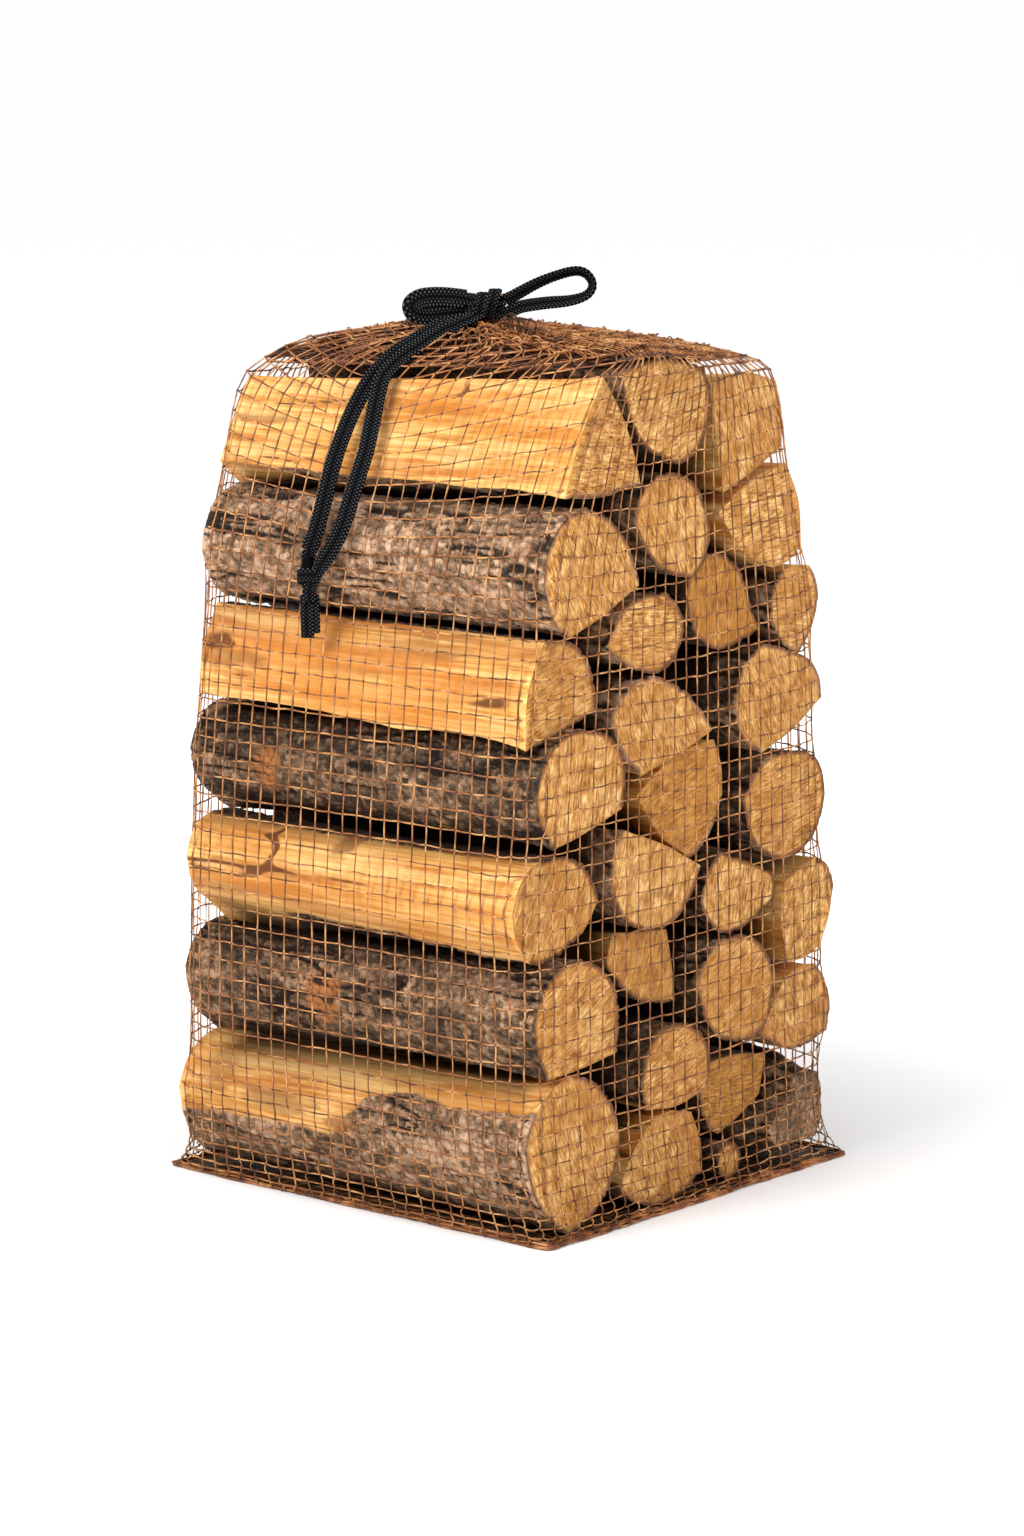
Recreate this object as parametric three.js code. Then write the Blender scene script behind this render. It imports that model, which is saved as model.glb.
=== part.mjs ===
// A net bag of firewood: 28 short split logs and a thin branch, stacked lengthwise.
// Millimetres, +Z up. The logs run along X, the stack is wide along Y, and the origin is
// the middle of the footprint, on the surface that the bag stands on.
import * as THREE from "three";
import { mergeVertices } from "three/addons/utils/BufferGeometryUtils.js";

// Driving dimensions
const LOG_STATIONS = [0, 0.22, 0.45, 0.7, 0.88, 1]; // sections of a log, far end to near end
const ARC_TURN = THREE.MathUtils.degToRad(24); // the most that one facet of a bark arc turns
const LONG_SIDE = 30; // a side longer than this has a point in its middle
const WAIST = 0.018; // how much a log is thinner between its ends
const BELLY_START = 22; // a belly is full this far behind a log's front arris
const SWAY = 0.7; // how far a log's middle wanders from a straight line
const NET_THICKNESS = 0.8;
const NECK = { x: 3, y: -16 }; // where the net is gathered
const LACE = { width: 7, thickness: 3.2 };
const LOOP_LACE = { ...LACE, onEdge: true };
const DOUBLED_LACE = { width: 9, thickness: 3.6 }; // the two cut ends, side by side
const LACE_STEP = 9; // length of one facet of the lace
const VIEW_SIDE = new THREE.Vector3(0.766, 0.643, 0); // the direction in which the bow spreads

const COLOURS = {
  splitWood: 0xdfae6a,
  barkWood: 0x7a6351,
  net: 0xa9683a,
  lace: 0x17181c,
};

const material = (color, roughness, extra = {}) =>
  new THREE.MeshStandardMaterial({ color, roughness, metalness: 0, ...extra });

const FINISHES = {
  splitWood: () => material(COLOURS.splitWood, 0.75),
  barkWood: () => material(COLOURS.barkWood, 0.9),
  net: () => material(COLOURS.net, 0.7, { transparent: true, opacity: 0.35 }),
  lace: () => material(COLOURS.lace, 0.8),
};

// Every log is an outline carried from its far end to its near end. An outline goes
// anticlockwise as seen from +X, and each of its corners is [y, z, bulge]: the side that
// follows the corner swells outwards by bulge. Bark sides bulge, split sides are nearly flat.
// ends: x of the far and the near end. far: the scale and the shift in y and z of the far end.
const FRONT_LOGS = [
  {
    finish: "barkWood",
    ends: [-128, 135],
    far: [0.87, 0, -6],
    outline: [[-103, 3, 12], [-58, 50, 9], [-99, 92, 9], [-140, 58, 9]],
  },
  {
    finish: "barkWood",
    ends: [-129, 135],
    far: [0.84, 0, -6],
    belly: 18,
    outline: [[-121, 95, 1], [-62, 100, 15], [-92, 155, 10], [-133, 126, 3]],
  },
  {
    finish: "splitWood",
    ends: [-118, 127],
    far: [0.88, 1, 1],
    belly: 19,
    outline: [[-122, 155, 9], [-68, 184, 9], [-108, 212, 9], [-141, 186, 5]],
  },
  {
    finish: "barkWood",
    ends: [-126, 135],
    far: [0.8, 0, -4],
    belly: 24,
    outline: [[-116, 219, 1], [-57, 234, 14], [-84, 280, 13], [-131, 250, 4]],
  },
  {
    finish: "splitWood",
    ends: [-114, 127],
    far: [0.92, 0, 1],
    belly: 12.5,
    outline: [[-130, 275, 1], [-71, 289, 15], [-114, 331, 6]],
  },
  {
    finish: "barkWood",
    ends: [-117, 135],
    far: [0.9, 0, -2],
    belly: 24,
    outline: [[-104, 334, 2], [-44, 357, 9], [-90, 401, 11], [-125, 362, 4]],
  },
  {
    finish: "splitWood",
    ends: [-122, 135],
    far: [0.78, -1, -5],
    belly: 15,
    outline: [[-107, 409, 3], [-43, 411, 4], [-75, 469, 2]],
  },
];

const MIDDLE_LOGS = [
  {
    finish: "barkWood",
    ends: [-124, 132],
    far: [0.95, 0, 0],
    outline: [[-20, 3, 3], [19, 14, 3], [9, 50, 2], [-22, 53, 4], [-54, 18, 4]],
  },
  {
    finish: "barkWood",
    ends: [-120, 134],
    far: [0.92, 0, -2],
    outline: [[-34, 60, 4], [22, 63, 11], [0, 103, 12], [-38, 76, 2]],
  },
  {
    finish: "splitWood",
    ends: [-126, 122],
    far: [0.94, 0, 1],
    outline: [[6, 113, 1], [-2, 155, 0], [-48, 160, 2], [-53, 141, 8]],
  },
  {
    finish: "barkWood",
    ends: [-121, 132],
    far: [0.93, 0, 0],
    outline: [[-19, 160, 7], [16, 190, 2], [-53, 220, 4], [-63, 188, 9]],
  },
  {
    finish: "splitWood",
    ends: [-123, 126],
    far: [0.94, 1, 0],
    outline: [[15, 194, 5], [43, 226, 3], [35, 258, 6], [-33, 236, 5]],
  },
  {
    finish: "barkWood",
    ends: [-118, 133],
    far: [0.95, -1, 0],
    outline: [[-38, 249, 1], [25, 266, 5], [-20, 300, 9], [-64, 284, 5]],
  },
  {
    finish: "barkWood",
    ends: [-120, 131],
    far: [0.95, 0, 1],
    outline: [[-68, 323, 3], [-27, 304, 7], [1, 324, 6], [-18, 347, 9]],
  },
  {
    finish: "splitWood",
    ends: [-122, 132],
    far: [0.93, 0, -1],
    outline: [[8, 353, 5], [22, 380, 11], [-20, 413, 7], [-44, 388, 9]],
  },
  {
    finish: "barkWood",
    ends: [-98, 134],
    far: [0.92, 0, -4],
    outline: [[-58, 471, 13], [-10, 417, 8], [19, 446, 3], [12, 469, 6]],
  },
];

const BACK_LOGS = [
  {
    finish: "barkWood",
    ends: [-122, 133],
    far: [0.92, -1, -1],
    near: [0.66, 0.9, 1], // scales of the three sections nearest to the bark-covered end
    outline: [[84, 3, 0], [134, 4, 4], [141, 40, 6], [122, 66, 2], [99, 60, 0], [91, 42, 0], [64, 22, 3]],
  },
  {
    finish: "splitWood",
    ends: [-125, 120],
    far: [0.94, 0, 0],
    outline: [[50, 28, 1], [88, 44, 1], [93, 66, 3], [35, 70, 1], [33, 52, 5]],
  },
  {
    finish: "splitWood",
    ends: [-119, 132],
    far: [0.94, 0, 0],
    outline: [[112, 69, 1], [137, 75, 2], [138, 97, 2], [124, 116, 2], [96, 112, 0], [75, 82, 3]],
  },
  {
    finish: "barkWood",
    ends: [-123, 131],
    far: [0.93, 0, -1],
    outline: [[58, 86, 9], [87, 114, 8], [50, 145, 8], [15, 121, 9]],
  },
  {
    finish: "splitWood",
    ends: [-121, 134],
    far: [0.95, 0, 0],
    outline: [[97, 122, 2], [127, 127, 2], [139, 160, 4], [122, 179, 1], [92, 168, 4]],
  },
  {
    finish: "splitWood",
    ends: [-120, 129],
    far: [0.94, 0, 0],
    outline: [[55, 147, 2], [88, 160, 3], [84, 176, 1], [38, 194, 4], [21, 168, 8]],
  },
  {
    finish: "barkWood",
    ends: [-124, 133],
    far: [0.94, -1, 0],
    outline: [[92, 183, 11], [131, 215, 10], [100, 244, 8], [54, 224, 11]],
  },
  {
    finish: "barkWood",
    ends: [-118, 132],
    far: [0.93, 0, 0],
    outline: [[72, 247, 3], [128, 272, 4], [113, 296, 1], [72, 309, 6], [47, 280, 8]],
  },
  {
    finish: "splitWood",
    ends: [-122, 130],
    far: [0.94, 0, 0],
    outline: [[108, 299, 3], [126, 326, 3], [118, 348, 2], [92, 347, 4], [82, 322, 4]],
  },
  {
    finish: "splitWood",
    ends: [-120, 125],
    far: [0.95, 0, 0],
    outline: [[40, 309, 2], [77, 316, 0], [62, 348, 5], [28, 363, 4], [11, 342, 8]],
  },
  {
    finish: "splitWood",
    ends: [-117, 132],
    far: [0.93, 0, -1],
    outline: [[80, 352, 3], [107, 361, 5], [92, 409, 4], [31, 387, 6]],
  },
  {
    finish: "splitWood",
    ends: [-112, 131],
    far: [0.9, 0, -10],
    outline: [[36, 398, 1], [89, 419, 3], [83, 456, 5], [24, 459, 0]],
  },
];

const THIN_BRANCH = {
  finish: "barkWood",
  ends: [-96, 130],
  far: [0.9, 0, -1],
  outline: [[47, 3, 3], [58, 14, 3], [47, 25, 3], [36, 14, 3]],
};

// The net hugs the stack. Each level is [z, front y, back y, far x, near x, corner radius,
// drop at the far end, drop at the back]: the top levels lean, because the top logs do.
const NET_LEVELS = [
  [0, -127, 144, -142, 142, 4, 0, 0],
  [5, -130, 143, -138, 140, 7, 0, 0],
  [18, -138, 144, -133, 138, 8, 0, 0],
  [55, -144, 144, -132, 138, 8, 0, 0],
  [100, -142, 143, -132, 138, 8, 0, 0],
  [150, -141, 142, -132, 138, 8, 0, 0],
  [186, -144, 141, -131, 138, 8, 0, 0],
  [225, -140, 136, -130, 138, 8, 0, 0],
  [285, -135, 133, -129, 138, 8, 0, 0],
  [345, -131, 130, -126, 138, 8, 0, 0],
  [372, -129, 120, -126, 138, 8, 0, 0],
  [412, -113, 100, -126, 138, 8, 1, 0],
  [440, -98, 94, -126, 138, 7, 8, 0],
  [469, -81, 88, -126, 138, 6, 14, 9],
  [481, -62, 22, -102, 138, 8, 8, 2],
  [485, -46, 12, -60, 84, 20, 3, 0],
];
// The gathered neck, as [z, outer radius, inner radius]
const NECK_LEVELS = [
  [489.5, 11, 9],
  [491, 8, 4],
  [500, 7.5, 3.5],
  [503, 9.5, 5],
];
const SIDE_POINTS = 5;
const CORNER_POINTS = 3;

// Points of one side of an outline, from corner a to corner b, without b. The side is an arc
// whose sagitta is the bulge: its half angle is twice the arc tangent of 2 * bulge / chord.
function sidePoints([ay, az, bulge], [by, bz]) {
  const chord = Math.hypot(by - ay, bz - az);
  const halfAngle = 2 * Math.atan((2 * bulge) / chord);
  const fewest = chord > LONG_SIDE ? 2 : 1;
  const count = Math.max(fewest, Math.ceil((2 * halfAngle) / ARC_TURN));
  const outward = [(bz - az) / chord, -(by - ay) / chord];
  return Array.from({ length: count }, (_, i) => {
    const t = i / count;
    const rise = 4 * bulge * t * (1 - t);
    return [ay + (by - ay) * t + outward[0] * rise, az + (bz - az) * t + outward[1] * rise];
  });
}

const outlinePoints = (corners) =>
  corners.flatMap((corner, i) => sidePoints(corner, corners[(i + 1) % corners.length]));

function middleOf(points) {
  const sum = points.reduce(([sy, sz], [y, z]) => [sy + y, sz + z], [0, 0]);
  return sum.map((value) => value / points.length);
}

// A closed solid through rings of equal length, each a list of [x, y, z] that goes
// anticlockwise as seen from the last ring's side. Both end rings are closed by a fan.
function loftGeometry(rings) {
  const count = rings[0].length;
  const positions = rings.flat(2);
  const indices = [];
  for (let r = 0; r + 1 < rings.length; r++) {
    for (let i = 0; i < count; i++) {
      const next = (i + 1) % count;
      const [a, b] = [r * count + i, r * count + next];
      const [c, d] = [a + count, b + count];
      indices.push(a, b, d, a, d, c);
    }
  }
  const closeEnd = (ring, first, flip) => {
    const centre = [0, 1, 2].map((k) => ring.reduce((sum, p) => sum + p[k], 0) / count);
    const tip = positions.length / 3;
    positions.push(...centre);
    for (let i = 0; i < count; i++) {
      const [a, b] = [first + i, first + ((i + 1) % count)];
      indices.push(...(flip ? [tip, b, a] : [tip, a, b]));
    }
  };
  closeEnd(rings[0], 0, true);
  closeEnd(rings.at(-1), (rings.length - 1) * count, false);
  return new THREE.BufferGeometry()
    .setAttribute("position", new THREE.Float32BufferAttribute(positions, 3))
    .setIndex(indices);
}

// Sections of a log: the outline is scaled about its middle, from the far end's scale to the
// full size at the near end, a little thinner between, and wanders by SWAY.
function logGeometry({ ends, far, near = [], belly = 0, outline }, order) {
  const points = outlinePoints(outline);
  const [cy, cz] = middleOf(points);
  const lowZ = Math.min(...points.map(([, z]) => z));
  const [farScale, farY, farZ] = far;
  // Behind the front arris, the outline's first corner, the underside hangs by the belly.
  const frontY = outline[0][0];
  const hang = ([y, z]) =>
    belly * THREE.MathUtils.smoothstep(y, frontY, frontY + BELLY_START) * Math.max(0, (cz - z) / (cz - lowZ));
  const rings = LOG_STATIONS.map((t, station) => {
    const arch = Math.sin(Math.PI * t);
    const cap = near[LOG_STATIONS.length - 1 - station] ?? 1;
    const scale = (farScale + (1 - farScale) * t - WAIST * arch) * cap;
    const shiftY = farY * (1 - t) + SWAY * arch * Math.sin(2.1 * order);
    const shiftZ = farZ * (1 - t) + SWAY * arch * Math.cos(1.7 * order);
    const x = ends[0] + (ends[1] - ends[0]) * t;
    return points.map(([y, z]) => [
      x,
      cy + (y - cy) * scale + shiftY,
      Math.max(outlineFloor(outline), cz + (z - cz) * scale + shiftZ - hang([y, z]) * (1 - t) ** 0.7),
    ]);
  });
  return loftGeometry(rings);
}

// A log in the bottom row never sinks below the lowest corner of its outline.
const outlineFloor = (outline) => {
  const lowest = Math.min(...outline.map(([, z]) => z));
  return lowest < 10 ? lowest : -Infinity;
};

// One level of the net: a rectangle with round corners, anticlockwise as seen from above.
function netRing([z, front, back, farX, nearX, radius, farDrop, backDrop], inset) {
  const [x0, x1] = [farX + inset, nearX - inset];
  const [y0, y1] = [front + inset, back - inset];
  const r = Math.max(radius - inset, 1);
  const corners = [
    [x1 - r, y0 + r, -90],
    [x1 - r, y1 - r, 0],
    [x0 + r, y1 - r, 90],
    [x0 + r, y0 + r, 180],
  ];
  const onCorner = ([cx, cy, start], share) => {
    const angle = THREE.MathUtils.degToRad(start + 90 * share);
    return [cx + r * Math.cos(angle), cy + r * Math.sin(angle)];
  };
  const points = corners.flatMap((corner, i) => {
    const round = Array.from({ length: CORNER_POINTS }, (_, k) =>
      onCorner(corner, k / CORNER_POINTS),
    );
    const from = onCorner(corner, 1);
    const to = onCorner(corners[(i + 1) % 4], 0);
    const straight = Array.from({ length: SIDE_POINTS }, (_, k) => {
      const t = k / SIDE_POINTS;
      return [from[0] + (to[0] - from[0]) * t, from[1] + (to[1] - from[1]) * t];
    });
    return [...round, ...straight];
  });
  const lean = (x, y) =>
    (farDrop * (nearX - x)) / (nearX - farX) + (backDrop * (y - front)) / (back - front);
  return points.map(([x, y]) => [x, y, z - lean(x, y)]);
}

// One level of the neck: a circle with its points in the same order as a net ring's.
function neckRing(z, radius) {
  const count = 4 * (SIDE_POINTS + CORNER_POINTS);
  return Array.from({ length: count }, (_, i) => {
    const angle = THREE.MathUtils.degToRad(-90 + (360 * i) / count + 15);
    return [NECK.x + radius * Math.cos(angle), NECK.y + radius * Math.sin(angle), z];
  });
}

// The inside of the wall lies above the floor, and under the leaning levels of the top.
const innerDrop = ([, , , , , , farDrop], i) => {
  if (i === 0) return -NET_THICKNESS;
  return farDrop > 0 ? NET_THICKNESS : 0;
};

// The bag is one wall: up the outside, over the rim of the mouth, and down the inside.
function netGeometry() {
  const lowered = (ring, by) => ring.map(([x, y, z]) => [x, y, z - by]);
  const outside = [
    ...NET_LEVELS.map((level) => netRing(level, 0)),
    ...NECK_LEVELS.map(([z, outer]) => neckRing(z, outer)),
  ];
  const inside = [
    ...NET_LEVELS.map((level, i) => lowered(netRing(level, NET_THICKNESS), innerDrop(level, i))),
    ...NECK_LEVELS.map(([z, , inner]) => lowered(neckRing(z, inner), NET_THICKNESS)),
  ].reverse();
  return loftGeometry([...outside, ...inside]);
}

// The flat lace: an oval of eight sides carried along a smooth curve through the points. It
// lies flat, or stands on its edge in the bow's loops.
function laceGeometry(points, { width, thickness, onEdge = false } = LACE) {
  const [high, wide] = onEdge ? [width, thickness] : [thickness, width];
  const curve = new THREE.CatmullRomCurve3(points.map((p) => new THREE.Vector3(...p)), false, "centripetal");
  const oval = new THREE.Shape(
    Array.from({ length: 8 }, (_, i) => {
      const angle = ((i + 0.5) * Math.PI) / 4;
      return new THREE.Vector2((high / 2) * Math.cos(angle), (wide / 2) * Math.sin(angle));
    }),
  );
  const made = new THREE.ExtrudeGeometry(oval, {
    steps: Math.ceil(curve.getLength() / LACE_STEP),
    extrudePath: curve,
    bevelEnabled: false,
  });
  made.deleteAttribute("normal");
  made.deleteAttribute("uv");
  return mergeVertices(made, 1e-3);
}

// Routes of the drawstring's free stretches
const LEFT_LOOP = [
  [1, -31, 502], [-3.5, -34.5, 502.7], [-8, -38, 503.2], [-12.5, -42, 503.3],
  [-17, -46, 502.8], [-20, -48.7, 501.3], [-22, -50.2, 499], [-22, -50, 496],
  [-20.5, -48.6, 494], [-18, -46.5, 493.2], [-15, -44, 493], [-11.5, -41, 493.4],
  [-8, -38, 494], [-4.5, -35.2, 494.5], [-1.5, -32.8, 494.8], [1, -31, 495],
];
const RIGHT_LOOP = [
  [22, -22, 502], [25, -19.5, 503.8], [28, -17, 506], [32.5, -13.5, 509.2],
  [37, -10, 512], [41, -6.5, 514.2], [45, -3, 516], [49, 0.5, 517.5],
  [53, 4, 518], [56, 6.4, 516.8], [58, 8, 514.3], [59, 9, 511.3],
  [58.7, 8.7, 508], [57, 7.3, 505.2], [54, 5, 503.2], [49.5, 1, 501.7],
  [45, -3, 501], [41, -6.5, 500.6], [37, -10, 500], [32.5, -13.5, 499.2],
  [28, -17, 498], [25, -19.5, 496.2], [22, -22, 494],
];
const LEFT_TAIL = [
  [2.5, -36, 490.5], [0, -38, 489.8], [-2.5, -40, 489], [-4.3, -43.5, 488.2],
  [-6, -47.5, 487], [-9, -55.5, 483], [-12, -63.5, 478.5], [-15.2, -68, 475.5],
  [-18, -72, 472], [-19.7, -78.5, 467], [-21, -85.5, 461], [-23.3, -92.8, 450.5],
  [-25, -100, 438.3], [-24.8, -108, 425.8], [-24, -115.8, 412], [-23.8, -122, 396.5],
  [-24, -128, 381], [-26, -132.5, 369],
];
const RIGHT_TAIL = [
  [7.5, -41, 490.5], [5.7, -43, 489.4], [4, -45, 488], [2.8, -47.8, 487.2],
  [1.5, -50.5, 486], [-1.2, -58.5, 482], [-4, -66.5, 477.5], [-7, -71, 474.5],
  [-10, -75, 471], [-11.5, -81, 466.5], [-12, -87, 461.3], [-11, -92.8, 450],
  [-8, -100.3, 437], [-5, -108, 424.5], [-3.8, -114.5, 414], [-3, -120.5, 404],
  [-3, -126, 393], [-4, -130.2, 382.5], [-8.5, -133, 372], [-16, -134.2, 361.5],
];
// The two cut ends below the knot, side by side
const TAIL_ENDS = [
  [-25, -134.3, 344.5], [-24.6, -134.5, 338.5], [-24.2, -134.7, 332.5], [-23.8, -134.9, 326.5],
  [-23.5, -135, 321],
];

const BOW_KNOT = { at: [13.7, -28.7, 499.3], across: 9, deep: 5.5, tall: 9.5 };
const TAIL_KNOT = { at: [-25.5, -135.8, 356.5], across: 5.5, deep: 4.5, tall: 11 };
const NECK_BAND = { inner: 8.4, outer: 10.8, low: 491.8, high: 499 };

// A knot is a faceted lump, wide across the direction in which the bow spreads.
function knotMesh(name, { at, across, deep, tall }) {
  const lump = new THREE.SphereGeometry(1, 12, 8);
  lump.deleteAttribute("normal");
  lump.deleteAttribute("uv");
  const mesh = new THREE.Mesh(mergeVertices(lump, 1e-4), FINISHES.lace());
  mesh.name = name;
  mesh.scale.set(across, deep, tall);
  mesh.rotation.z = Math.atan2(VIEW_SIDE.y, VIEW_SIDE.x);
  mesh.position.set(...at);
  return mesh;
}

// The lace where it runs round the gathered neck: a ring whose section is a flat oval.
function neckBandMesh() {
  const { inner, outer, low, high } = NECK_BAND;
  const [middle, level] = [(inner + outer) / 2, (low + high) / 2];
  const profile = Array.from({ length: 9 }, (_, i) => {
    const angle = (i * Math.PI) / 4;
    return new THREE.Vector2(
      middle + ((outer - inner) / 2) * Math.cos(angle),
      level + ((high - low) / 2) * Math.sin(angle),
    );
  });
  const made = new THREE.LatheGeometry(profile, 24).rotateX(Math.PI / 2);
  made.deleteAttribute("normal");
  made.deleteAttribute("uv");
  const mesh = new THREE.Mesh(mergeVertices(made, 1e-3), FINISHES.lace());
  mesh.name = "drawstring_band";
  mesh.position.set(NECK.x, NECK.y, 0);
  return mesh;
}

function namedMesh(name, geometry, finish) {
  const mesh = new THREE.Mesh(geometry, FINISHES[finish]());
  mesh.name = name;
  return mesh;
}

const logs = new THREE.Group();
const columns = { front_log: FRONT_LOGS, middle_log: MIDDLE_LOGS, back_log: BACK_LOGS };
for (const [column, rows] of Object.entries(columns)) {
  rows.forEach((row, i) => {
    logs.add(namedMesh(`${column}_${i + 1}`, logGeometry(row, logs.children.length), row.finish));
  });
}
logs.add(namedMesh("thin_branch", logGeometry(THIN_BRANCH, logs.children.length), THIN_BRANCH.finish));

const drawstring = new THREE.Group();
drawstring.add(
  neckBandMesh(),
  knotMesh("bow_knot", BOW_KNOT),
  namedMesh("bow_loop_left", laceGeometry(LEFT_LOOP, LOOP_LACE), "lace"),
  namedMesh("bow_loop_right", laceGeometry(RIGHT_LOOP, LOOP_LACE), "lace"),
  namedMesh("tail_left", laceGeometry(LEFT_TAIL), "lace"),
  namedMesh("tail_right", laceGeometry(RIGHT_TAIL), "lace"),
  knotMesh("tail_knot", TAIL_KNOT),
  namedMesh("tail_ends", laceGeometry(TAIL_ENDS, DOUBLED_LACE), "lace"),
);

const bundle = new THREE.Group();
bundle.add(logs, namedMesh("net_bag", netGeometry(), "net"), drawstring);

export default bundle;
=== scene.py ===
# %% [markdown]
# # A net bag of firewood
#
# Twenty-eight short split logs and a thin branch lie lengthwise in a net bag, which a flat
# black drawstring closes with a bow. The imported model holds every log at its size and
# place. This script reads the sections of those logs and carries bark, torn grain and saw
# marks over them, knots a net round the stack, and ties the braided lace.

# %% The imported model, and the box that it fills
import math

import bpy
import numpy as np
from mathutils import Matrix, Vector


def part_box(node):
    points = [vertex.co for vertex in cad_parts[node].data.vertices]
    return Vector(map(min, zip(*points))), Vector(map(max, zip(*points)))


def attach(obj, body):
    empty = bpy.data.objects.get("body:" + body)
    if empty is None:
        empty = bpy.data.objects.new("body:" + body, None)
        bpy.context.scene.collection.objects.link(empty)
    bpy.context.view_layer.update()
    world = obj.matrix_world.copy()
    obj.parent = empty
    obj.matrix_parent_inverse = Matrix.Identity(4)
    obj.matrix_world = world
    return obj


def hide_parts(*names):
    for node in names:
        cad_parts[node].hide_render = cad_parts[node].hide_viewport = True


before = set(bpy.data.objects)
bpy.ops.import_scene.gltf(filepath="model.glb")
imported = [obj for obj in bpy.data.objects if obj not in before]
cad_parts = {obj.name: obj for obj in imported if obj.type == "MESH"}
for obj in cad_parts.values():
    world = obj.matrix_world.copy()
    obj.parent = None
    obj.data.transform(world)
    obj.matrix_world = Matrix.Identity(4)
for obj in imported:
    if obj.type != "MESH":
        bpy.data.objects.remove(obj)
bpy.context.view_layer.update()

MM = 0.001
BODY = "root"

# %% [markdown]
# ## The camera
#
# The bag stands with its long bark and split sides to the left and its sawn ends to the
# right. The camera looks down a little, from far away through a long lens, which keeps the
# bag's upright edges nearly parallel. A near camera with a short lens would show the same
# sides, but the bottom logs would look larger than the top ones.

# %% The camera
SENSOR = 36.0
IMAGE_HEIGHT = 1536
FOCAL_PIXELS = 4800  # fitted to the photograph's edges, as the angles and the target are
FOCAL_LENGTH = FOCAL_PIXELS / IMAGE_HEIGHT * SENSOR
VIEW_AZIMUTH = math.radians(40)
VIEW_ELEVATION = math.radians(10)
VIEW_DISTANCE = 2.719
VIEW_TARGET = np.array([0.0197, -0.0135, 0.2367])
TO_CAMERA = np.array([
    math.sin(VIEW_AZIMUTH) * math.cos(VIEW_ELEVATION),
    -math.cos(VIEW_AZIMUTH) * math.cos(VIEW_ELEVATION),
    math.sin(VIEW_ELEVATION),
])
X, Y, UP = np.eye(3)
VIEW_SIDE = np.array([math.cos(VIEW_AZIMUTH), math.sin(VIEW_AZIMUTH), 0.0])
VIEW_DEPTH = np.array([math.sin(VIEW_AZIMUTH), -math.cos(VIEW_AZIMUTH), 0.0])


def add_camera():
    """A camera on the line from the target towards TO_CAMERA, looking back along it."""
    data = bpy.data.cameras.new("camera")
    data.lens = FOCAL_LENGTH
    data.sensor_width = SENSOR
    data.clip_end = 200.0
    camera = bpy.data.objects.new("camera", data)
    camera.location = VIEW_TARGET + TO_CAMERA * VIEW_DISTANCE
    camera.rotation_euler = Vector(-TO_CAMERA).to_track_quat("-Z", "Y").to_euler()
    bpy.context.scene.collection.objects.link(camera)
    bpy.context.scene.camera = camera


add_camera()
print("lens", round(FOCAL_LENGTH, 1), "mm")

# %% [markdown]
# ## From arrays to meshes
#
# Every new piece is a grid of points worked out at once with numpy: rows run along the
# piece, and columns run round it. A closed piece joins its last column to its first, and a
# row that has shrunk to one point becomes a pole. Attributes carry what the geometry knows,
# such as how deep a fissure is, to the material.


# %% Grids, attributes and smooth curves
def grid_faces(rows, columns, closed=True):
    """Quads between neighbouring points of a rows x columns grid, facing outwards when the
    columns run anticlockwise as seen from the last row's side."""
    across = columns if closed else columns - 1
    r, c = np.meshgrid(np.arange(rows - 1), np.arange(across), indexing="ij")
    here = r * columns + c
    beside = r * columns + (c + 1) % columns
    return np.stack([here, beside, beside + columns, here + columns], -1).reshape(-1, 4)


def closed_grid_faces(rows, columns):
    """Faces of a grid whose first and last rows are one point each. The poles are point 0
    and the last point, and every row between has all its columns."""
    faces = grid_faces(rows - 2, columns) + 1
    ring = np.arange(columns)
    following = (ring + 1) % columns
    last = 1 + (rows - 3) * columns
    pole = 1 + (rows - 2) * columns
    start = np.stack([np.zeros_like(ring), following + 1, ring + 1, ring + 1], -1)
    end = np.stack([np.full_like(ring, pole), last + ring, last + following, last + following], -1)
    return faces, start[:, :3], end[:, :3]


def new_mesh(name, points, face_lists, material, attributes=None, uv=None):
    """A shaded-smooth mesh object from arrays. Each face list holds faces of one size."""
    sizes = np.concatenate([np.full(len(f), f.shape[1]) for f in face_lists])
    corners = np.concatenate([f.ravel() for f in face_lists]).astype(np.int32)
    mesh = bpy.data.meshes.new(name)
    mesh.vertices.add(len(points))
    mesh.vertices.foreach_set("co", np.asarray(points, np.float32).ravel())
    mesh.loops.add(len(corners))
    mesh.loops.foreach_set("vertex_index", corners)
    mesh.polygons.add(len(sizes))
    starts = np.concatenate([[0], np.cumsum(sizes)[:-1]]).astype(np.int32)
    mesh.polygons.foreach_set("loop_start", starts)
    mesh.polygons.foreach_set("use_smooth", np.ones(len(sizes), bool))
    for key, values in (attributes or {}).items():
        layer = mesh.attributes.new(key, "FLOAT", "POINT")
        layer.data.foreach_set("value", np.asarray(values, np.float32).ravel())
    if uv is not None:
        layer = mesh.uv_layers.new(name="surface")
        layer.data.foreach_set("uv", np.asarray(uv, np.float32)[corners].ravel())
    mesh.update()
    mesh.validate()
    mesh.materials.append(material)
    piece = bpy.data.objects.new(name, mesh)
    bpy.context.scene.collection.objects.link(piece)
    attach(piece, BODY)
    return piece


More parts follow.
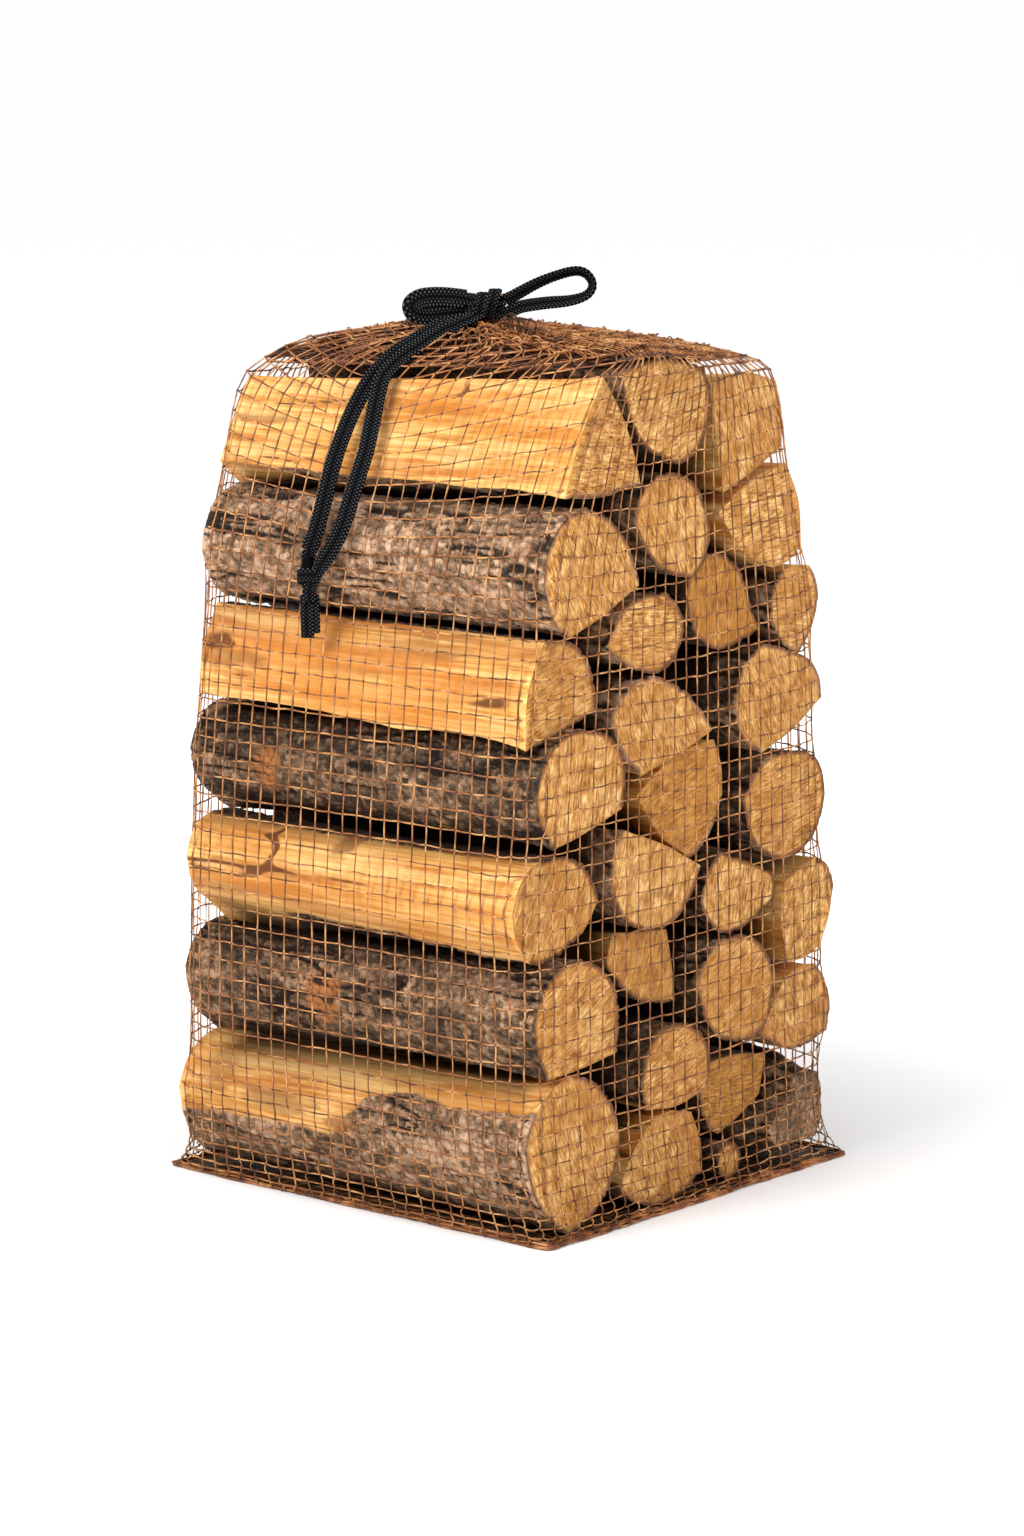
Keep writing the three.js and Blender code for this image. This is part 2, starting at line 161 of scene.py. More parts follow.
def smooth_curve(points, at, corners=None):
    """Catmull-Rom curve through points, at parameters counted in points. Where corners is
    true the curve has a kink: each side of it starts along its own chord."""
    points = np.asarray(points, float)
    closed = corners is not None
    count = len(points)
    k = np.floor(at).astype(int)
    if closed:
        index = [(k - 1) % count, k % count, (k + 1) % count, (k + 2) % count]
    else:
        k = np.minimum(k, count - 2)
        index = [np.maximum(k - 1, 0), k, k + 1, np.minimum(k + 2, count - 1)]
    before, start, end, after = (points[i] for i in index)
    if closed:
        before = np.where(corners[index[1]][:, None], 2 * start - end, before)
        after = np.where(corners[index[2]][:, None], 2 * end - start, after)
    t = (at - k)[:, None]
    leave = (end - before) / 2
    arrive = (after - start) / 2
    return (
        start * (2 * t**3 - 3 * t**2 + 1)
        + leave * (t**3 - 2 * t**2 + t)
        + end * (3 * t**2 - 2 * t**3)
        + arrive * (t**3 - t**2)
    )


def evenly(points, count):
    """count points at equal distances along a finely sampled line."""
    steps = np.linalg.norm(np.diff(points, axis=0), axis=1)
    along = np.concatenate([[0], np.cumsum(steps)])
    want = np.linspace(0, along[-1], count)
    return np.stack([np.interp(want, along, points[:, k]) for k in range(3)], -1), along[-1]


def unit(vectors):
    """Vectors scaled to a length of one."""
    return vectors / np.maximum(np.linalg.norm(vectors, axis=-1, keepdims=True), 1e-12)


# %% [markdown]
# ## Noise
#
# Wood and bark need three kinds of irregularity. Smooth noise bends and sways a surface.
# Layered noise adds finer and finer copies of it. Cell noise breaks a surface into flakes.
# The shader has its own noise for the finest grain, but a form that catches the light has
# to be in the mesh, so all three are written here for whole arrays of points.


# %% Smooth, layered and cell noise
LAYERED_GAIN = 1.4  # brings the usual reach of a layered sum back to 1
CELL_MARGIN = 0.15  # how far a cell's seed stays from the cell's edges
CELL_JITTER = 0.7  # and the stretch between, over which it may lie


def lattice(cells, seed):
    """A repeatable random number from 0 to 1 for each whole-number cell, by mixing bits
    with large primes, as integer hashes do."""
    primes = np.array([374761393, 668265263, 2147483647, 1274126177], np.uint64)
    mixed = np.full(cells.shape[:-1], (seed * 2654435761 + 97) % 2**32, np.uint64)
    for k in range(cells.shape[-1]):
        mixed = mixed ^ (cells[..., k].astype(np.int64).astype(np.uint64) * primes[k])
        mixed = (mixed ^ (mixed >> np.uint64(15))) * np.uint64(2246822519)
        mixed = mixed & np.uint64(0xFFFFFFFF)
    mixed = (mixed ^ (mixed >> np.uint64(13))) * np.uint64(3266489917) & np.uint64(0xFFFFFFFF)
    return (mixed ^ (mixed >> np.uint64(16))).astype(float) / 2**32


def smooth_noise(points, seed):
    """Random values on a lattice, blended between its corners by 3t^2 - 2t^3; from -1 to 1."""
    cell = np.floor(points)
    t = points - cell
    t = t * t * (3 - 2 * t)
    total = 0
    dims = points.shape[-1]
    for corner in range(2**dims):
        step = np.array([(corner >> k) & 1 for k in range(dims)])
        weight = np.prod(np.where(step == 1, t, 1 - t), axis=-1)
        total = total + weight * lattice(cell + step, seed)
    return 2 * total - 1


def layered_noise(points, seed, layers=4, finer=2.1, weaker=0.5):
    """A sum of smooth noises, each finer times finer and weaker times lower; about -1 to 1."""
    total = 0
    height = 1.0
    for layer in range(layers):
        total = total + height * smooth_noise(points * finer**layer, seed + 17 * layer)
        height *= weaker
    return total * (1 - weaker) / (1 - weaker**layers) * LAYERED_GAIN


def cell_noise(u, v, wrap, seed):
    """Cells round jittered seeds, with v closing on itself after wrap cells. Returns the
    distance to the nearest seed, how much further the second one is, and the cell's number."""
    base_u = np.floor(u)
    base_v = np.floor(v)
    nearest = np.full(u.shape, 9.0)
    second = np.full(u.shape, 9.0)
    number = np.zeros(u.shape)
    for du in (-1, 0, 1):
        for dv in (-1, 0, 1):
            cell = np.stack([base_u + du, (base_v + dv) % wrap], -1)
            seed_u = base_u + du + CELL_MARGIN + CELL_JITTER * lattice(cell, seed)
            seed_v = base_v + dv + CELL_MARGIN + CELL_JITTER * lattice(cell, seed + 1)
            distance = np.hypot(u - seed_u, v - seed_v)
            closer = distance < nearest
            second = np.where(closer, nearest, np.minimum(second, distance))
            number = np.where(closer, lattice(cell, seed + 2), number)
            nearest = np.where(closer, distance, nearest)
    return nearest, second - nearest, number


def ramp(values, low, high):
    """0 below low, 1 above high, and a smooth step between."""
    t = np.clip((values - low) / (high - low), 0, 1)
    return t * t * (3 - 2 * t)

# %% [markdown]
# ## Colours and nodes
#
# Materials are put together from a few kinds of node. Short functions for them keep each
# material readable as what it looks like, a colour from dark to light and a height, and
# not as a list of links. Colours are written as they look on a screen.

# %% Small helpers for nodes
def srgb(red, green, blue):
    """A colour as seen on a screen, 0 to 255, as the linear values that shaders use."""
    channel = np.array([red, green, blue]) / 255
    linear = np.where(channel <= 0.04045, channel / 12.92, ((channel + 0.055) / 1.055) ** 2.4)
    return (*linear, 1.0)


def wire(tree, value, socket):
    """Connects an output to a socket, or sets the socket's own value."""
    if isinstance(value, bpy.types.NodeSocket):
        tree.links.new(value, socket)
    else:
        socket.default_value = value


def maths(tree, operation, *values):
    """One Math node on up to three values."""
    node = tree.nodes.new("ShaderNodeMath")
    node.operation = operation
    for value, socket in zip(values, node.inputs):
        wire(tree, value, socket)
    return node.outputs[0]


def blend_colours(tree, share, first, second):
    """One Mix node on two colours."""
    node = tree.nodes.new("ShaderNodeMix")
    node.data_type = "RGBA"
    colours = [socket for socket in node.inputs if socket.type == "RGBA"]
    wire(tree, share, node.inputs[0])
    wire(tree, first, colours[0])
    wire(tree, second, colours[1])
    return next(socket for socket in node.outputs if socket.type == "RGBA")


def colour_ramp(tree, value, stops):
    """Colours at places from 0 to 1, blended between."""
    node = tree.nodes.new("ShaderNodeValToRGB")
    band = node.color_ramp
    band.elements[0].position = stops[0][0]
    band.elements[0].color = stops[0][1]
    band.elements[1].position = stops[-1][0]
    band.elements[1].color = stops[-1][1]
    for place, colour in stops[1:-1]:
        band.elements.new(place).color = colour
    wire(tree, value, node.inputs[0])
    return node.outputs[0]


def noise(tree, coordinates, stretch, detail=4.0, roughness=0.55):
    """Noise with stretch features a metre along each axis; from 0 to 1."""
    mapping = tree.nodes.new("ShaderNodeMapping")
    mapping.inputs["Scale"].default_value = stretch
    tree.links.new(coordinates, mapping.inputs["Vector"])
    node = tree.nodes.new("ShaderNodeTexNoise")
    node.inputs["Scale"].default_value = 1.0
    node.inputs["Detail"].default_value = detail
    node.inputs["Roughness"].default_value = roughness
    tree.links.new(mapping.outputs[0], node.inputs["Vector"])
    return node.outputs["Fac"]


def step_up(tree, value, low, high):
    """0 below low, 1 above high, with a smooth step between."""
    node = tree.nodes.new("ShaderNodeMapRange")
    node.interpolation_type = "SMOOTHSTEP"
    node.inputs["From Min"].default_value = low
    node.inputs["From Max"].default_value = high
    wire(tree, value, node.inputs["Value"])
    return node.outputs["Result"]


def mask_of(tree, name):
    """One of the masks that the mesh carries."""
    node = tree.nodes.new("ShaderNodeAttribute")
    node.attribute_name = name
    return node.outputs["Fac"]


def glaze(tree, colour, mask, low, high, strength, tint):
    """A tint laid over a colour where a mask rises from low to high. At most it hides as
    much of the colour as strength says."""
    share = maths(tree, "MULTIPLY", step_up(tree, mask, low, high), strength)
    return blend_colours(tree, share, colour, tint)


def new_material(name):
    """A material, its tree of nodes and the shader in it."""
    material = bpy.data.materials.new(name)
    material.use_nodes = True
    return material, material.node_tree, material.node_tree.nodes["Principled BSDF"]


def add_bump(tree, shader, height, distance, strength=1.0):
    """Shades a height from 0 to 1 as a relief of that distance."""
    bump = tree.nodes.new("ShaderNodeBump")
    bump.inputs["Distance"].default_value = distance
    bump.inputs["Strength"].default_value = strength
    wire(tree, height, bump.inputs["Height"])
    tree.links.new(bump.outputs["Normal"], shader.inputs["Normal"])

# %% [markdown]
# ## The drawstring
#
# The drawstring is a flat braided lace, about 8 mm wide. It is limp, runs once round the
# gathered neck, is tied in a bow, and its two tails hang down the front of the bag to an
# overhand knot with two short cut ends. The photograph shows it from end to end, so its
# stretches are as long as they look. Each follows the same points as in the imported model.
# A flat strip with a picture of a braid would be quicker, but its edges would be smooth
# where a braid's are scalloped by its strands.

# %% Where the lace runs, in millimetres
LEFT_LOOP = [
    (1, -31, 502), (-3.5, -34.5, 502.7), (-8, -38, 503.2), (-12.5, -42, 503.3),
    (-17, -46, 502.8), (-20, -48.7, 501.3), (-22, -50.2, 499), (-22, -50, 496),
    (-20.5, -48.6, 494), (-18, -46.5, 493.2), (-15, -44, 493), (-11.5, -41, 493.4),
    (-8, -38, 494), (-4.5, -35.2, 494.5), (-1.5, -32.8, 494.8), (1, -31, 495),
]
RIGHT_LOOP = [
    (22, -22, 502), (25, -19.5, 503.8), (28, -17, 506), (32.5, -13.5, 509.2),
    (37, -10, 512), (41, -6.5, 514.2), (45, -3, 516), (49, 0.5, 517.5), (53, 4, 518),
    (56, 6.4, 516.8), (58, 8, 514.3), (59, 9, 511.3), (58.7, 8.7, 508), (57, 7.3, 505.2),
    (54, 5, 503.2), (49.5, 1, 501.7), (45, -3, 501), (41, -6.5, 500.6), (37, -10, 500),
    (32.5, -13.5, 499.2), (28, -17, 498), (25, -19.5, 496.2), (22, -22, 494),
]
LEFT_TAIL = [
    (2.5, -36, 490.5), (0, -38, 489.8), (-2.5, -40, 489), (-4.3, -43.5, 488.2),
    (-6, -47.5, 487), (-9, -55.5, 483), (-12, -63.5, 478.5), (-15.2, -68, 475.5),
    (-18, -72, 472), (-19.7, -78.5, 467), (-21, -85.5, 461), (-23.3, -92.8, 450.5),
    (-25, -100, 438.3), (-24.8, -108, 425.8), (-24, -115.8, 412), (-23.8, -122, 396.5),
    (-24, -128, 381), (-26, -132.5, 369),
]
RIGHT_TAIL = [
    (7.5, -41, 490.5), (5.7, -43, 489.4), (4, -45, 488), (2.8, -47.8, 487.2),
    (1.5, -50.5, 486), (-1.2, -58.5, 482), (-4, -66.5, 477.5), (-7, -71, 474.5),
    (-10, -75, 471), (-11.5, -81, 466.5), (-12, -87, 461.3), (-11, -92.8, 450),
    (-8, -100.3, 437), (-5, -108, 424.5), (-3.8, -114.5, 414), (-3, -120.5, 404),
    (-3, -126, 393), (-4, -130.2, 382.5), (-8.5, -133, 372), (-16, -134.2, 361.5),
]
TAIL_ENDS = [
    (-25, -134.3, 344.5), (-24.6, -134.5, 338.5), (-24.2, -134.7, 332.5),
    (-23.8, -134.9, 326.5), (-23.5, -135, 321),
]
# The lace inside a knot: from the end of a loop or a tail over further points to the knot's
# core, and last how much the face of a stretch is turned upwards from the camera
INTO_BOW = [
    (LEFT_LOOP[0], (6, -29.6, 501.6), (13.7, -28.7, 501), 0),
    (LEFT_LOOP[-1], (6, -29.8, 495.6), (13.7, -28.7, 497), 0),
    (RIGHT_LOOP[0], (19, -24.6, 501), (13.7, -28.7, 500), 1),
    (RIGHT_LOOP[-1], (19, -24.8, 495.4), (13.7, -28.7, 497), 0),
    (LEFT_TAIL[0], (5.5, -33.6, 492.2), (10, -30, 495), 0.6),
    (RIGHT_TAIL[0], (10, -37.6, 492.2), (13, -32, 495), 0.6),
]
INTO_TIE = [
    (LEFT_TAIL[-1], (-25.4, -134, 361), (-24.4, -134.8, 352), (-23.8, -134.8, 343), 0),
    (RIGHT_TAIL[-1], (-19.8, -135.6, 354), (-22.4, -136.2, 348), (-22.6, -135.8, 341), 0),
]
BOW_TURNS = ((-3.2, -0.5, 6.6, 1.8), (2.6, 0.4, 7.6, 2.6))  # aside, up, half height, lean
CUT_ENDS = ((-0.8, -0.8, 0), (2.0, 1.2, 6))  # aside, deeper, and steps by which it is shorter
LACE_WIDTH = 7.8 * MM
LACE_THICKNESS = 2.6 * MM
STRANDS_ACROSS = 6
STITCH = 2.1 * MM  # from one strand's crest to its next one
BRAID_HEIGHT = 0.36 * MM
LACE_STEP = 0.42 * MM
LACE_ROUND = 44  # points round the section
ROUNDNESS = (0.75, 0.55)  # powers of cosine and sine that flatten a circle's sides
EDGE_FROM = 0.93  # share of the half width from which the braid is the lace's edge
TIP = 0.6  # how far the end of a strip stands out, in steps
FINE = 40  # samples a point along which a path is measured


# %% The braided section carried along a path
def lace_path(points):
    """A smooth curve through the points, given in millimetres, in steps of LACE_STEP, and
    its length."""
    at = np.linspace(0, len(points) - 1, FINE * len(points))
    fine = smooth_curve(np.array(points) * MM, at)
    length = np.linalg.norm(np.diff(fine, axis=0), axis=1).sum()
    return evenly(fine, int(length / LACE_STEP) + 1)


def lace_rings(path, flats, closed=False, width=LACE_WIDTH):
    """Sections of the lace round a path, and their braid, width and length coordinates.
    The section is an oval with flat sides, whose face looks along flats. On the face the
    strands are arcs, raised and lowered by a sine along the lace, in turn with their
    neighbours, which gives the small rectangular stitches of a flat braid. Its edges have
    the sine alone."""
    along = np.roll(path, -1, 0) - np.roll(path, 1, 0) if closed else np.gradient(path, axis=0)
    along = unit(along)
    flats = unit(flats - along * (flats * along).sum(1)[:, None])
    sides = np.cross(along, flats)
    turn = np.arange(LACE_ROUND) * 2 * np.pi / LACE_ROUND
    across = np.sign(np.cos(turn)) * np.abs(np.cos(turn)) ** ROUNDNESS[0]
    out = np.sign(np.sin(turn)) * np.abs(np.sin(turn)) ** ROUNDNESS[1]
    steps = np.linalg.norm(np.diff(path, axis=0), axis=1)
    distance = np.concatenate([[0], np.cumsum(steps)])[:, None]
    column = np.floor((across + 1) / 2 * STRANDS_ACROSS * 0.999)
    strand = np.abs(np.sin(np.pi * STRANDS_ACROSS * (across + 1) / 2)) ** 0.6
    wave = np.sin(2 * np.pi * distance / STITCH + np.pi * column + np.pi * (out > 0))
    braid = (0.25 + 0.75 * strand) * (0.52 + 0.48 * wave)
    braid = np.where(np.abs(across) > EDGE_FROM, 0.4 + 0.3 * wave, braid)
    rise = BRAID_HEIGHT * braid
    wide = (width / 2 - BRAID_HEIGHT) * across + rise * across
    thick = (LACE_THICKNESS / 2 - BRAID_HEIGHT) * out + rise * out
    rings = path[:, None] + sides[:, None] * wide[..., None] + flats[:, None] * thick[..., None]
    return rings, braid, *(np.broadcast_to(values, braid.shape) for values in (across, distance))


def ring_faces(rows, columns):
    """Quads of a grid that closes on itself both ways, as a torus does."""
    r, c = np.meshgrid(np.arange(rows), np.arange(columns), indexing="ij")
    here = r * columns + c
    beside = r * columns + (c + 1) % columns
    ahead = (r + 1) % rows * columns
    return np.stack(
        [here, ahead + c, ahead + (c + 1) % columns, beside], -1).reshape(-1, 4)


def join(parts):
    """Points, faces, braid and uv of several shells as those of one mesh."""
    shift = np.cumsum([0] + [len(p[0]) for p in parts[:-1]])
    points, braid, uv = (np.concatenate([p[k] for p in parts]) for k in (0, 2, 3))
    faces = [f + s for p, s in zip(parts, shift) for f in p[1]]
    return points, faces, braid, uv


def lace_strip(path, flats, width=LACE_WIDTH):
    """An open stretch of lace, closed at both ends by a point."""
    rings, braid, across, distance = lace_rings(path, flats, width=width)
    start = rings[0].mean(0) + TIP * (rings[0].mean(0) - rings[1].mean(0))
    end = rings[-1].mean(0) + TIP * (rings[-1].mean(0) - rings[-2].mean(0))
    points = np.concatenate([[start], rings.reshape(-1, 3), [end]])
    values = (braid, across, distance)
    flat = [np.concatenate([[v.flat[0]], v.ravel(), [v.flat[-1]]]) for v in values]
    faces = closed_grid_faces(len(rings) + 2, LACE_ROUND)
    return points, [f[:, ::-1] for f in faces], flat[0], np.stack(flat[1:], -1)


def into_knot(points, up):
    """The stretch of a loop or a tail that is hidden in its knot."""
    path = lace_path(points)[0]
    return lace_strip(path, np.broadcast_to(TO_CAMERA + up * UP, path.shape))


def lace_turn(centre, axis, first, second, tilt=0.0):
    """A closed turn of lace round an axis: an oval with half axes first and second, given
    as vectors, tilted along the axis on one side."""
    girth = np.pi * (np.linalg.norm(first) + np.linalg.norm(second))
    turn = np.arange(int(girth / LACE_STEP)) * 2 * np.pi / int(girth / LACE_STEP)
    spoke = np.cos(turn)[:, None] * first + np.sin(turn)[:, None] * second
    path = centre + spoke + tilt * np.sin(turn)[:, None] * axis
    out = np.cos(turn)[:, None] * unit(first) + np.sin(turn)[:, None] * unit(second)
    rings, braid, across, distance = lace_rings(path, out, closed=True)
    uv = np.stack([across, distance], -1).reshape(-1, 2)
    return rings.reshape(-1, 3), [ring_faces(len(rings), LACE_ROUND)[:, ::-1]], braid.ravel(), uv


def lump(centre, size):
    """A plain closed oval lump that fills a knot. Its half sizes are given in millimetres
    aside, in depth and upwards, as the camera sees them."""
    axes = [axis * half * MM for axis, half in zip((VIEW_SIDE, VIEW_DEPTH, UP), size)]
    rows, columns = 14, 24
    tilt = np.linspace(-np.pi / 2, np.pi / 2, rows)[1:-1, None]
    turn = (np.arange(columns) * 2 * np.pi / columns)[None]
    parts = [np.cos(tilt) * np.cos(turn), np.cos(tilt) * np.sin(turn), np.sin(tilt) + 0 * turn]
    ball = centre + sum(p[..., None] * axis for p, axis in zip(parts, axes))
    points = np.concatenate([[centre - axes[2]], ball.reshape(-1, 3), [centre + axes[2]]])
    plain = np.zeros(len(points))
    return points, list(closed_grid_faces(rows, columns)), plain, np.stack([plain, plain], -1)


# %% The look of the lace
def lace_material():
    """Black polyester, a little lighter and bluer on top of each strand than between, as a
    painted highlight.
    """
    material, tree, shader = new_material("black_lace")
    # Painted highlight: the braid's crests are lighter and bluer, and its hollows are darkest.
    colour = colour_ramp(tree, mask_of(tree, "braid"), [
        (0.30, srgb(2, 2, 3)), (0.62, srgb(12, 12, 13)), (0.90, srgb(88, 89, 93)),
    ])
    place = tree.nodes.new("ShaderNodeTexCoord").outputs
    fibres = noise(tree, place["Object"], (1500, 1500, 1500), 3.0, 0.7)
    add_bump(tree, shader, fibres, 0.2 * MM)
    wire(tree, colour, shader.inputs["Base Color"])
    shader.inputs["Roughness"].default_value = 0.8
    shader.inputs["Specular IOR Level"].default_value = 0.06
    return material


LACE = lace_material()


def add_lace(name, node, parts):
    """A piece of lace made of one or more shells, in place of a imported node."""
    points, faces, braid, uv = join(parts)
    piece = new_mesh(name, points, faces, LACE, {"braid": braid}, uv)
    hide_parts(node)
    return piece


# %% [markdown]
# ## The bow
#
# The left loop is pressed flat and shows its broad side. The right one stands up: its lace
# is turned nearly edge-on at the top and lies flatter on the way back. The bow's knot is two
# short turns round the crossing, over a lump that stands for the lace hidden inside it, and
# the knot of the tails is one turn over such a lump. Each loop and tail goes on inside its
# knot as a stretch that belongs to the knot, so that no end of it hangs in the air.

# %% Loops, tails and knots
TAIL_LINE = (0, -0.02, 0.40)  # a line along x through this point is the tails' middle
TAIL_CURL = 2.2  # how strongly the tails turn to the camera
END_SPLAY = 0.05  # how much the faces of the two cut ends turn apart
BOW_DEPTH = 4.2  # half a turn's size in depth, in millimetres as all sizes of knots are
BOW_FILLING = (7, 3.6, 7)
TIE_OFFSET = (2.2, -0.6, -1.5)
TIE_TURN = (5.0, 3.4, 1.6)  # half sizes aside and in depth, and lean
TIE_FILLING = (3.8, 2.8, 11)


def loop_flats(path, turns):
    """Facing directions along a loop. turns are angles in degrees at equal steps along it:
    0 faces the camera, and 90 faces outwards from the middle of the loop."""
    along = unit(np.gradient(path, axis=0))
    outward = unit(np.cross(along, np.broadcast_to(TO_CAMERA, along.shape)))
    share, stops = (np.linspace(0, 1, len(values)) for values in (path, turns))
    angle = np.radians(np.interp(share, stops, turns))
    return np.cos(angle)[:, None] * TO_CAMERA + np.sin(angle)[:, None] * outward


def tail_flats(path):
    """Facing directions along a tail: away from the bag's middle, which the tail lies on,
    and turned to the camera, as the tails curl."""
    return unit((path - TAIL_LINE) * [0, 1, 1]) + TAIL_CURL * TO_CAMERA


def middle_of(node):
    """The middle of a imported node's box."""
    low, high = (np.array(corner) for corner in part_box(node))
    return (low + high) / 2


neck_low, neck_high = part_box("drawstring_band")
neck_reach = (neck_high[0] - neck_low[0]) / 2 - LACE_THICKNESS / 2
neck_middle = middle_of("drawstring_band")
add_lace("neck_band", "drawstring_band", [
    lace_turn(neck_middle, UP, X * neck_reach, Y * neck_reach, 0.4 * MM),
])

knot_middle = middle_of("bow_knot")
add_lace("bow_knot_lace", "bow_knot", [
    *(into_knot(stretch, up) for *stretch, up in INTO_BOW),
    *(
        lace_turn(
            knot_middle + VIEW_SIDE * aside * MM + UP * lift * MM, VIEW_SIDE,
            VIEW_DEPTH * BOW_DEPTH * MM, UP * tall * MM, lean * MM,
        )
        for aside, lift, tall, lean in BOW_TURNS
    ),
    lump(knot_middle, BOW_FILLING),
])

tie_middle = middle_of("tail_knot")
tail_knot = add_lace("tail_knot_lace", "tail_knot", [
    *(into_knot(stretch, up) for *stretch, up in INTO_TIE),
    lace_turn(
        tie_middle + np.array(TIE_OFFSET) * MM, UP,
        VIEW_SIDE * TIE_TURN[0] * MM, VIEW_DEPTH * TIE_TURN[1] * MM, TIE_TURN[2] * MM,
    ),
    lump(tie_middle + X * 1.8 * MM, TIE_FILLING),
])

ends_path = lace_path(TAIL_ENDS)[0]
tail_ends = add_lace("tail_ends_lace", "tail_ends", [
    lace_strip(
        ends_path[: len(ends_path) - short] + X * aside * MM + Y * deeper * MM,
        tail_flats(ends_path[: len(ends_path) - short]) + X * END_SPLAY * math.copysign(1, aside),
    )
    for aside, deeper, short in CUT_ENDS
])

# The left loop and the tails lie flat and are spread wide; the right loop is rolled.
SPREAD = {"bow_loop_left": 11.2 * MM, "tail_left": 9.6 * MM, "tail_right": 9.6 * MM}
CORDS = {
    "bow_loop_left": (LEFT_LOOP, (12, 0, 0, 12), "object", "loose"),
    "bow_loop_right": (RIGHT_LOOP, (25, 52, 60, 20, 8), "object", "loose"),
    "tail_left": (LEFT_TAIL, None, "knot", "hanging"),
    "tail_right": (RIGHT_TAIL, None, "knot", "hanging"),
}
for node, (points, turns, far_end, lay) in CORDS.items():
    path, length = lace_path(points)
    flats = tail_flats(path) if turns is None else loop_flats(path, turns)
    piece = add_lace(node + "_lace", node, [lace_strip(path, flats, SPREAD.get(node, LACE_WIDTH))])
    print(node, round(length * 1000), "mm")

# %% [markdown]
# ## Studio light and floor
#
# The bag stands on a plain white floor. A large soft light from the front left models the
# bark, a weaker one on the right keeps the sawn ends bright, and a broad one overhead
# whitens the floor and leaves a soft shadow where the net touches it. One small hard light
# would draw sharp shadows of every thread, which the soft ones blur as they should be.


# %% Floor and lights
GLOW_NEAR = 0.02
GLOW_FAR = 0.60
GLOW_GROWS = (0.20, 0.70)  # between these distances from the origin
BAG_MIDDLE = Vector((0, 0, 0.25))


def floor_material():
    """White, with a glow from GLOW_NEAR under the bag to GLOW_FAR at a distance."""
    material, tree, shader = new_material("white_floor")
    shader.inputs["Base Color"].default_value = (0.92, 0.92, 0.92, 1)
    shader.inputs["Roughness"].default_value = 0.85
    shader.inputs["Emission Strength"].default_value = 1.0
    place = tree.nodes.new("ShaderNodeTexCoord").outputs
    distance = tree.nodes.new("ShaderNodeVectorMath")
    distance.operation = "LENGTH"
    tree.links.new(place["Object"], distance.inputs[0])
    grow = step_up(tree, distance.outputs["Value"], *GLOW_GROWS)
    glow = maths(tree, "MULTIPLY_ADD", grow, GLOW_FAR - GLOW_NEAR, GLOW_NEAR)
    combined = tree.nodes.new("ShaderNodeCombineColor")
    for socket in combined.inputs[:3]:
        tree.links.new(glow, socket)
    tree.links.new(combined.outputs[0], shader.inputs["Emission Color"])
    return material


def add_floor(reach):
    """A square of floor round the origin. It glows faintly, and more so further away, as a
    white sweep does that has lights of its own behind the object."""
    mesh = bpy.data.meshes.new("floor")
    corners = [(-reach, -reach, 0), (reach, -reach, 0), (reach, reach, 0), (-reach, reach, 0)]
    mesh.from_pydata(corners, [], [(0, 1, 2, 3)])
    mesh.materials.append(floor_material())
    floor = bpy.data.objects.new("floor", mesh)
    bpy.context.scene.collection.objects.link(floor)


def add_softbox(name, azimuth, elevation, distance, size, power):
    """A square area light on a sphere round the bag's middle, aimed at that middle."""
    a = math.radians(azimuth)
    e = math.radians(elevation)
    direction = Vector((math.sin(a) * math.cos(e), -math.cos(a) * math.cos(e), math.sin(e)))
    data = bpy.data.lights.new(name, "AREA")
    data.size = size
    data.energy = power
    light = bpy.data.objects.new(name, data)
    light.location = BAG_MIDDLE + direction * distance
    light.rotation_euler = direction.to_track_quat("Z", "Y").to_euler()
    bpy.context.scene.collection.objects.link(light)


def add_world(brightness):
    """The same soft white light from everywhere."""
    world = bpy.data.worlds.new("studio")
    world.use_nodes = True
    world.node_tree.nodes["Background"].inputs["Color"].default_value = (1, 1, 1, 1)
    world.node_tree.nodes["Background"].inputs["Strength"].default_value = brightness
    bpy.context.scene.world = world


add_floor(reach=60.0)
add_softbox("key_light", azimuth=-8, elevation=38, distance=1.9, size=0.9, power=32)
add_softbox("side_light", azimuth=88, elevation=26, distance=2.1, size=1.3, power=22)
add_softbox("top_light", azimuth=30, elevation=82, distance=2.2, size=1.8, power=24)
add_world(brightness=0.42)
bpy.context.scene.view_settings.view_transform = "Standard"

# %% [markdown]
# ## The sections of a log
#
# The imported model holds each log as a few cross-sections joined by flat facets. The looks
# have to follow the same sections, or the logs would leave their places in the stack. So
# the sections are read back from each node: its points lie on six planes across the log.
# A kink of more than CORNER_TURN is an arris where the wood was split, and what lies
# between two arrises is one side of the log.

# %% Reading the sections
CORNER_TURN = math.radians(27)


def node_points(node):
    """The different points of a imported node, whose mesh is loose triangles."""
    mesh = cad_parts[node].data
    points = np.empty(len(mesh.vertices) * 3, np.float32)
    mesh.vertices.foreach_get("co", points)
    return np.unique(points.reshape(-1, 3).round(5), axis=0).astype(float)


def in_order(ring):
    """A section's points, anticlockwise round their middle as seen from +X."""
    middle = ring.mean(0)
    return ring[np.argsort(np.arctan2(ring[:, 2] - middle[2], ring[:, 1] - middle[1]))]


def shape_of(ring):
    """A section moved to the origin and scaled to a mean radius of one."""
    flat = ring[:, 1:] - ring[:, 1:].mean(0)
    return flat / np.linalg.norm(flat, axis=1).mean()


